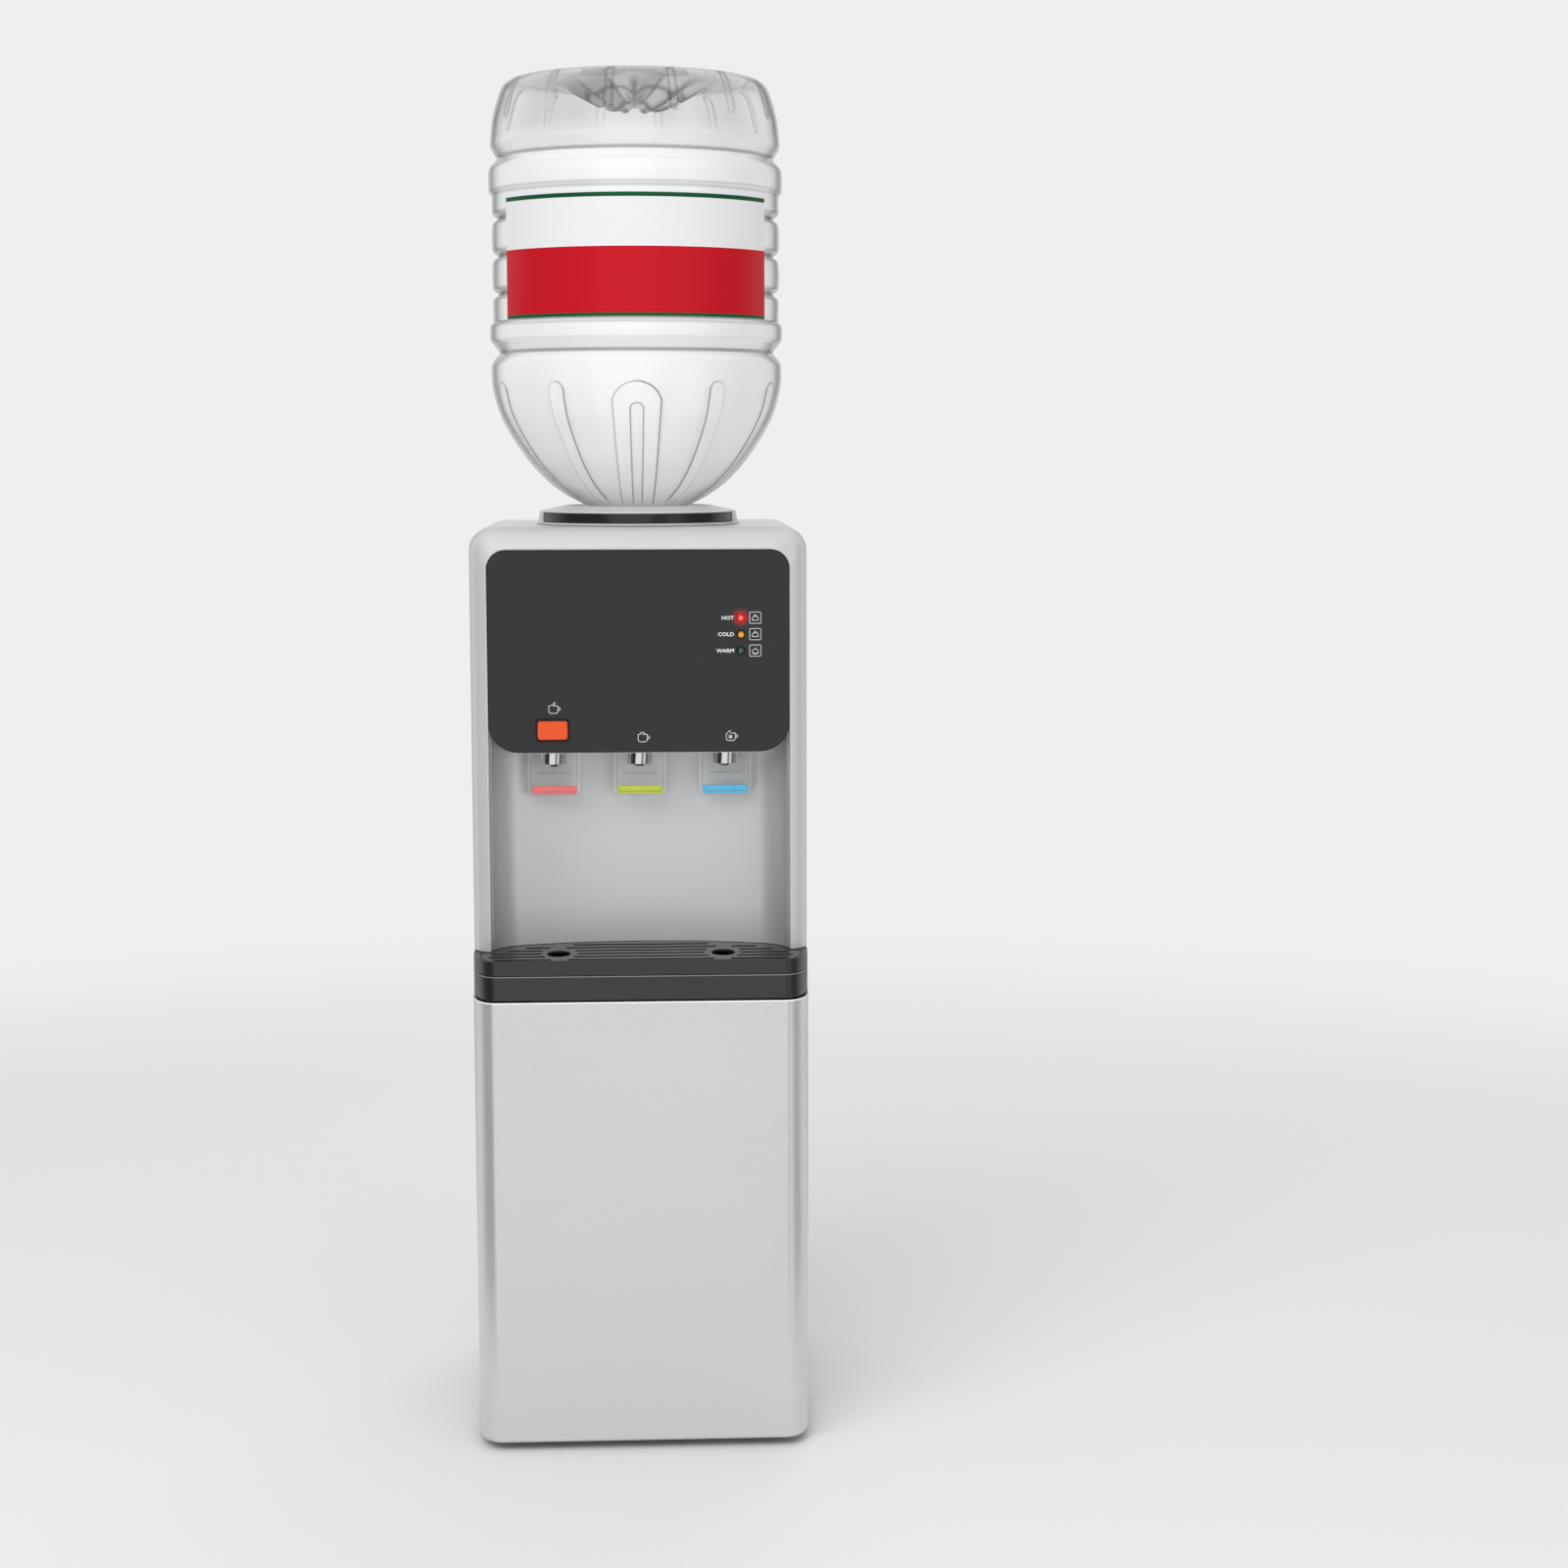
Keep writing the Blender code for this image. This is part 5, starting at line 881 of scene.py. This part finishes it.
printPlan = {
    "face": -0.1195,  # the control panel's front
    "ink": 0.00008,  # how proud the ink stands
    "line": 0.00022,  # half the width of a line
    "signLine": 0.0002,
    "rows": [("hot", 0.0738, 0.7463), ("cold", 0.0704, 0.7317), ("warm", 0.0688, 0.7171)],  # word's left end, height
    "wordEnd": 0.0845,
    "wordHeight": 0.0034,
    "squareAt": 0.1035,
    "square": (0.0050, 0.0050, 0.0009),  # half its width, half its height, its corners
    "signDrop": 0.0022,  # from the row's middle to the sign's foot
    # strokes as ways across and up from the middle of a sign's foot or of a cup
    "sign": [(-0.0026, 0), (0.0026, 0), (0.0026, 0.0022), (0.0014, 0.0034), (-0.0014, 0.0034), (-0.0026, 0.0022),
             (-0.0026, 0)],
    "signTops": {
        "warm": [[(0, 0.0040), (0.0009, 0.0048)], [(-0.0018, -0.0009), (0.0018, -0.0009)]],
    },
    "signArc": (0, 0.0036, 0.0010, 0.0012, 0, 180, 6),  # middle, half width and height, degrees, steps
    "cups": {"hot": (-0.0758, 0.6655), "warm": (0.0033, 0.6396), "cold": (0.0818, 0.6402)},
    "cupSize": 0.0098,
    "cupMarks": {
        "hot": [[(-0.0010, 0.0030), (0.0010, 0.0044), (-0.0004, 0.0050), (0.0016, 0.0066)],
                [(-0.0024, 0.0036), (-0.0008, 0.0050)]],
        "warm": [[(-0.0024, 0.0030), (-0.0026, 0.0048)]],
        "cold": [[(-0.0014, 0.0044), (-0.0002, 0.0058)], [(-0.0030, 0.0048), (-0.0014, 0.0056)]],
    },
    "cupArc": (-0.0006, 0.0026, 0.0022, 0.0026, 150, 20, 8),
    "spokes": (-0.0006, 0.0022, (30, 90, 150)),  # the cold cup's star: middle, half width, turns in degrees
    "buttonShadeLine": 0.0007,  # half the width of the line of painted shade round the button, where its gap lies in shadow
    "buttonCorner": 0.0024,
}


def inkWord(plan, text, left, middle):
    name, right = text.lower(), plan["wordEnd"]
    curve = bpy.data.curves.new("word_" + name, "FONT")
    curve.body = text
    curve.align_x, curve.align_y = "CENTER", "CENTER"
    curve.size = 1
    curve.offset = 0.016  # a little bolder than the plain letters
    curve.extrude = 0.01
    curve.resolution_u = 3
    word = putObject("word_" + name, curve)
    bpy.context.view_layer.update()
    mesh = bpy.data.meshes.new_from_object(word.evaluated_get(bpy.context.evaluated_depsgraph_get()))
    bpy.data.objects.remove(word)
    points = np.array([v.co for v in mesh.vertices])
    low, high = points.min(0), points.max(0)
    fit = ((right - left) / (high[0] - low[0]), plan["wordHeight"] / (high[1] - low[1]))
    for vertex in mesh.vertices:
        x, up, depth = vertex.co
        vertex.co = ((left + right) / 2 + (x - (low[0] + high[0]) / 2) * fit[0],
                     plan["face"] - (plan["ink"] if depth > 0 else 0),
                     middle + (up - (low[1] + high[1]) / 2) * fit[1])
    mesh.name = "word_" + name
    addPiece("print_" + name, mesh, finishes["screenPrintedInk"], "cabinet")


def inkStrokes(name, strokes, half, face, finish="screenPrintedInk", body="cabinet"):
    # each stroke is a flat ribbon with mitred corners, closed into a loop where its ends meet
    vertices, faces = [], []
    for stroke in strokes:
        closed = (Vector(stroke[0]) - Vector(stroke[-1])).length < 1e-7
        points = [Vector(p) for p in (stroke[:-1] if closed else stroke)]
        count = len(points)
        rings = []
        for i, point in enumerate(points):
            before = [points[i - 1]] if i or closed else []
            after = [points[(i + 1) % count]] if i < count - 1 or closed else []
            legs = [(point - a).normalized() for a in before] + [(b - point).normalized() for b in after]
            along = sum(legs, Vector((0, 0))).normalized()
            across = Vector((-along.y, along.x))
            # a mitre is at most twice as wide as the line
            reach = half / max(0.5, abs(across.dot(Vector((-legs[0].y, legs[0].x)))))
            ring = []
            for side in (-1, 1):
                spot = point + across * reach * side
                for y in (face, face - printPlan["ink"]):
                    ring.append(len(vertices))
                    vertices.append((spot.x, y, spot.y))
            rings.append(ring)
        for i in range(count if closed else count - 1):
            a, b = rings[i], rings[(i + 1) % count]
            for m, n in ((0, 1), (1, 3), (3, 2), (2, 0)):
                faces.append((a[m], a[n], b[n], b[m]))
        if not closed:
            for ring in (rings[0], rings[-1]):
                faces.append((ring[0], ring[1], ring[3], ring[2]))
    addPiece(name, meshFrom(name, vertices, faces, smooth=False), finishes[finish], body)


def moved(stroke, x, z):
    # a stroke drawn about 0, put where it belongs
    return [(x + across, z + up) for across, up in stroke]


def arcPoints(x, z, rx, rz, start, stop, steps=10):
    angles = [math.radians(start + (stop - start) * k / steps) for k in range(steps + 1)]
    return [(x + rx * math.cos(a), z + rz * math.sin(a)) for a in angles]


def roundedBox(x, z, halfWide, halfHigh, corner):
    wide, high = halfWide - corner, halfHigh - corner
    points = []
    for sx, sz, start in ((1, 1, 0), (-1, 1, 90), (-1, -1, 180), (1, -1, 270)):
        points += arcPoints(x + sx * wide, z + sz * high, corner, corner, start, start + 90, 4)
    return points + [points[0]]


def cupStrokes(x, z, size):
    # a cup seen from the side with its handle on the right
    w, h = 0.45 * size, 0.34 * size
    strokes = [
        [(-1, 1), (-1, -0.62), (-0.68, -1), (0.50, -1), (0.82, -0.62), (0.82, 1)],
        [(-1, 1), (-0.55, 1)],
        [(-0.15, 1), (0.82, 1)],
        [(0.82, 0.62), (1.18, 0.50), (1.30, 0), (0.82, -0.42)],
    ]
    return [moved([(w * across, h * up) for across, up in stroke], x, z) for stroke in strokes]


def inkSigns(plan):
    x, line, face = plan["squareAt"], plan["signLine"], plan["face"]
    for name, left, z in plan["rows"]:
        inkStrokes("square_" + name, [roundedBox(x, z, *plan["square"])], line, face)
        tops = plan["signTops"].get(name) or [arcPoints(*plan["signArc"])]
        strokes = [moved(stroke, x, z - plan["signDrop"]) for stroke in [plan["sign"]] + tops]
        inkStrokes("sign_" + name, strokes, line, face)
    middle, half, turns = plan["spokes"]
    spokes = [arcPoints(middle, 0, half, half, turn + 180, turn, 1) for turn in turns]
    for name, (x, z) in plan["cups"].items():
        marks = {"warm": [arcPoints(*plan["cupArc"])], "cold": spokes}.get(name, []) + plan["cupMarks"][name]
        strokes = cupStrokes(x, z, plan["cupSize"]) + [moved(stroke, x, z) for stroke in marks]
        inkStrokes("cup_" + name, strokes, plan["line"], face)


def shadeButtonGap(plan):
    # a dark line of painted shade round the button's face, where its gap to the panel lies in shadow
    low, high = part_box("hot_lock_button")
    line, middle, half = plan["buttonShadeLine"], (low + high) / 2, (high - low) / 2
    outline = roundedBox(middle.x, middle.z, half.x - line, half.z - line, plan["buttonCorner"])
    inkStrokes("button_gap_shade", [outline], line, low.y, "recessMouldedAbs", "lock_button")


for name, left, middle in printPlan["rows"]:
    inkWord(printPlan, name.upper(), left, middle)
inkSigns(printPlan)
shadeButtonGap(printPlan)
print("panel printed")


# painted highlights: thin light strips along the folded top of the lower panel and the moulded top of the shelf

edgeHighlightPlan = {
    "corner": (0.0215, 0.040),  # width and depth of the rounded front corners
    "sweep": (12, 90),  # degrees of the corner that the highlight strip follows
    "proud": 0.0003,
    "steps": 10,
    "highlightStrips": [  # piece, part it runs along, finish, height, slot
        ("panel_top_highlight", "lower_front_panel", "brightPaintedEdge", 0.0012, "silver_paint"),
        ("shelf_top_highlight", "tray_shelf", "greyMouldedEdge", 0.0007, "dark_plastic"),
    ],
}


def buildEdgeHighlight(plan, name, node, finish, tall, slot):
    # a thin strip just proud of the edge, coloured as a painted highlight
    low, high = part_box(node)
    wide, deep = plan["corner"]
    start, stop = plan["sweep"]
    line = []  # place and outward way of each step
    for k in range(plan["steps"] + 1):
        a = math.radians(start + (stop - start) * k / plan["steps"])
        place = (low.x + wide * (1 - math.cos(a)), low.y + deep * (1 - math.sin(a)))
        line.append((*place, math.cos(a) * deep, math.sin(a) * wide))
    line += [(-x, y, -nx, ny) for x, y, nx, ny in reversed(line)]
    vertices, faces = [], []
    for x, y, nx, ny in line:
        size = math.hypot(nx, ny)
        for out in (-plan["proud"], plan["proud"]):
            for z in (high.z - tall, high.z):
                vertices.append((x - nx / size * out, y - ny / size * out, z))
    last = 4 * (len(line) - 1)
    for a in range(0, last, 4):
        for m, n in ((0, 1), (1, 3), (3, 2), (2, 0)):
            faces.append((a + m, a + n, a + n + 4, a + m + 4))
    faces += [(0, 1, 3, 2), (last, last + 1, last + 3, last + 2)]
    addPiece(name, meshFrom(name, vertices, faces, smooth=False), finishes[finish], "cabinet")


for edgeStrip in edgeHighlightPlan["highlightStrips"]:
    buildEdgeHighlight(edgeHighlightPlan, *edgeStrip)
print("edges lined")


# moulded lines of the clear paddles, an inner outline and the step where the plate thins, drawn as grey lines of
# painted shade

paddlePlan = {
    "inset": 0.0036,
    "corner": 0.0035,
    "top": 0.0400,
    "step": 0.0204,
    "stepHalf": 0.0150,
    "line": 0.00022,
}


def linePaddles(plan):
    inset, rise = plan["inset"], (plan["top"] - plan["inset"]) / 2
    for tap in taps:
        low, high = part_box(tap + "_paddle")
        x, half = (low.x + high.x) / 2, (high.x - low.x) / 2 - inset
        ends = [(x + side * plan["stepHalf"], low.z + plan["step"]) for side in (-1, 1)]
        strokes = [roundedBox(x, low.z + inset + rise, half, rise, plan["corner"]), ends]
        body = tap + "_paddle_body"
        inkStrokes("paddle_line_" + tap, strokes, plan["line"], low.y, "greyMouldedEdge", body)


linePaddles(paddlePlan)
print("paddles lined")


# rear: the thin wires across the condenser

wirePlan = {
    "count": 34,
    "radius": 0.0007,
    "sides": 8,
    "over": 0.006,  # how far they reach past the coil's top and bottom
    "inset": 0.008,  # from the coil's sides
    "sunk": 0.6,  # share of the radius between the coil's face and a wire's middle
}


def buildWires(plan):
    # upright round wires, closed at both ends
    low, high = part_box("condenser_coil")
    radius, sides, inset, sink = plan["radius"], plan["sides"], plan["inset"], plan["radius"] * plan["sunk"]
    turns = [2 * math.pi * k / sides for k in range(sides)]
    vertices, faces = [], []
    for k in range(plan["count"]):
        x = low.x + inset + (high.x - low.x - 2 * inset) * k / (plan["count"] - 1)
        for y in (low.y - sink, high.y + sink):
            first = len(vertices)
            for z in (low.z - plan["over"], high.z + plan["over"]):
                vertices += [(x + radius * math.cos(a), y + radius * math.sin(a), z) for a in turns]
            for a in range(sides):
                b = (a + 1) % sides
                faces.append((first + a, first + b, first + sides + b, first + sides + a))
            for ring in (first, first + sides):
                faces.append(tuple(range(ring, ring + sides)))
    mesh = meshFrom("condenserWires", vertices, faces)
    addPiece("condenser_wires", mesh, finishes["sprayedBlackEnamel"], "cabinet")


buildWires(wirePlan)
print("rear dressed")
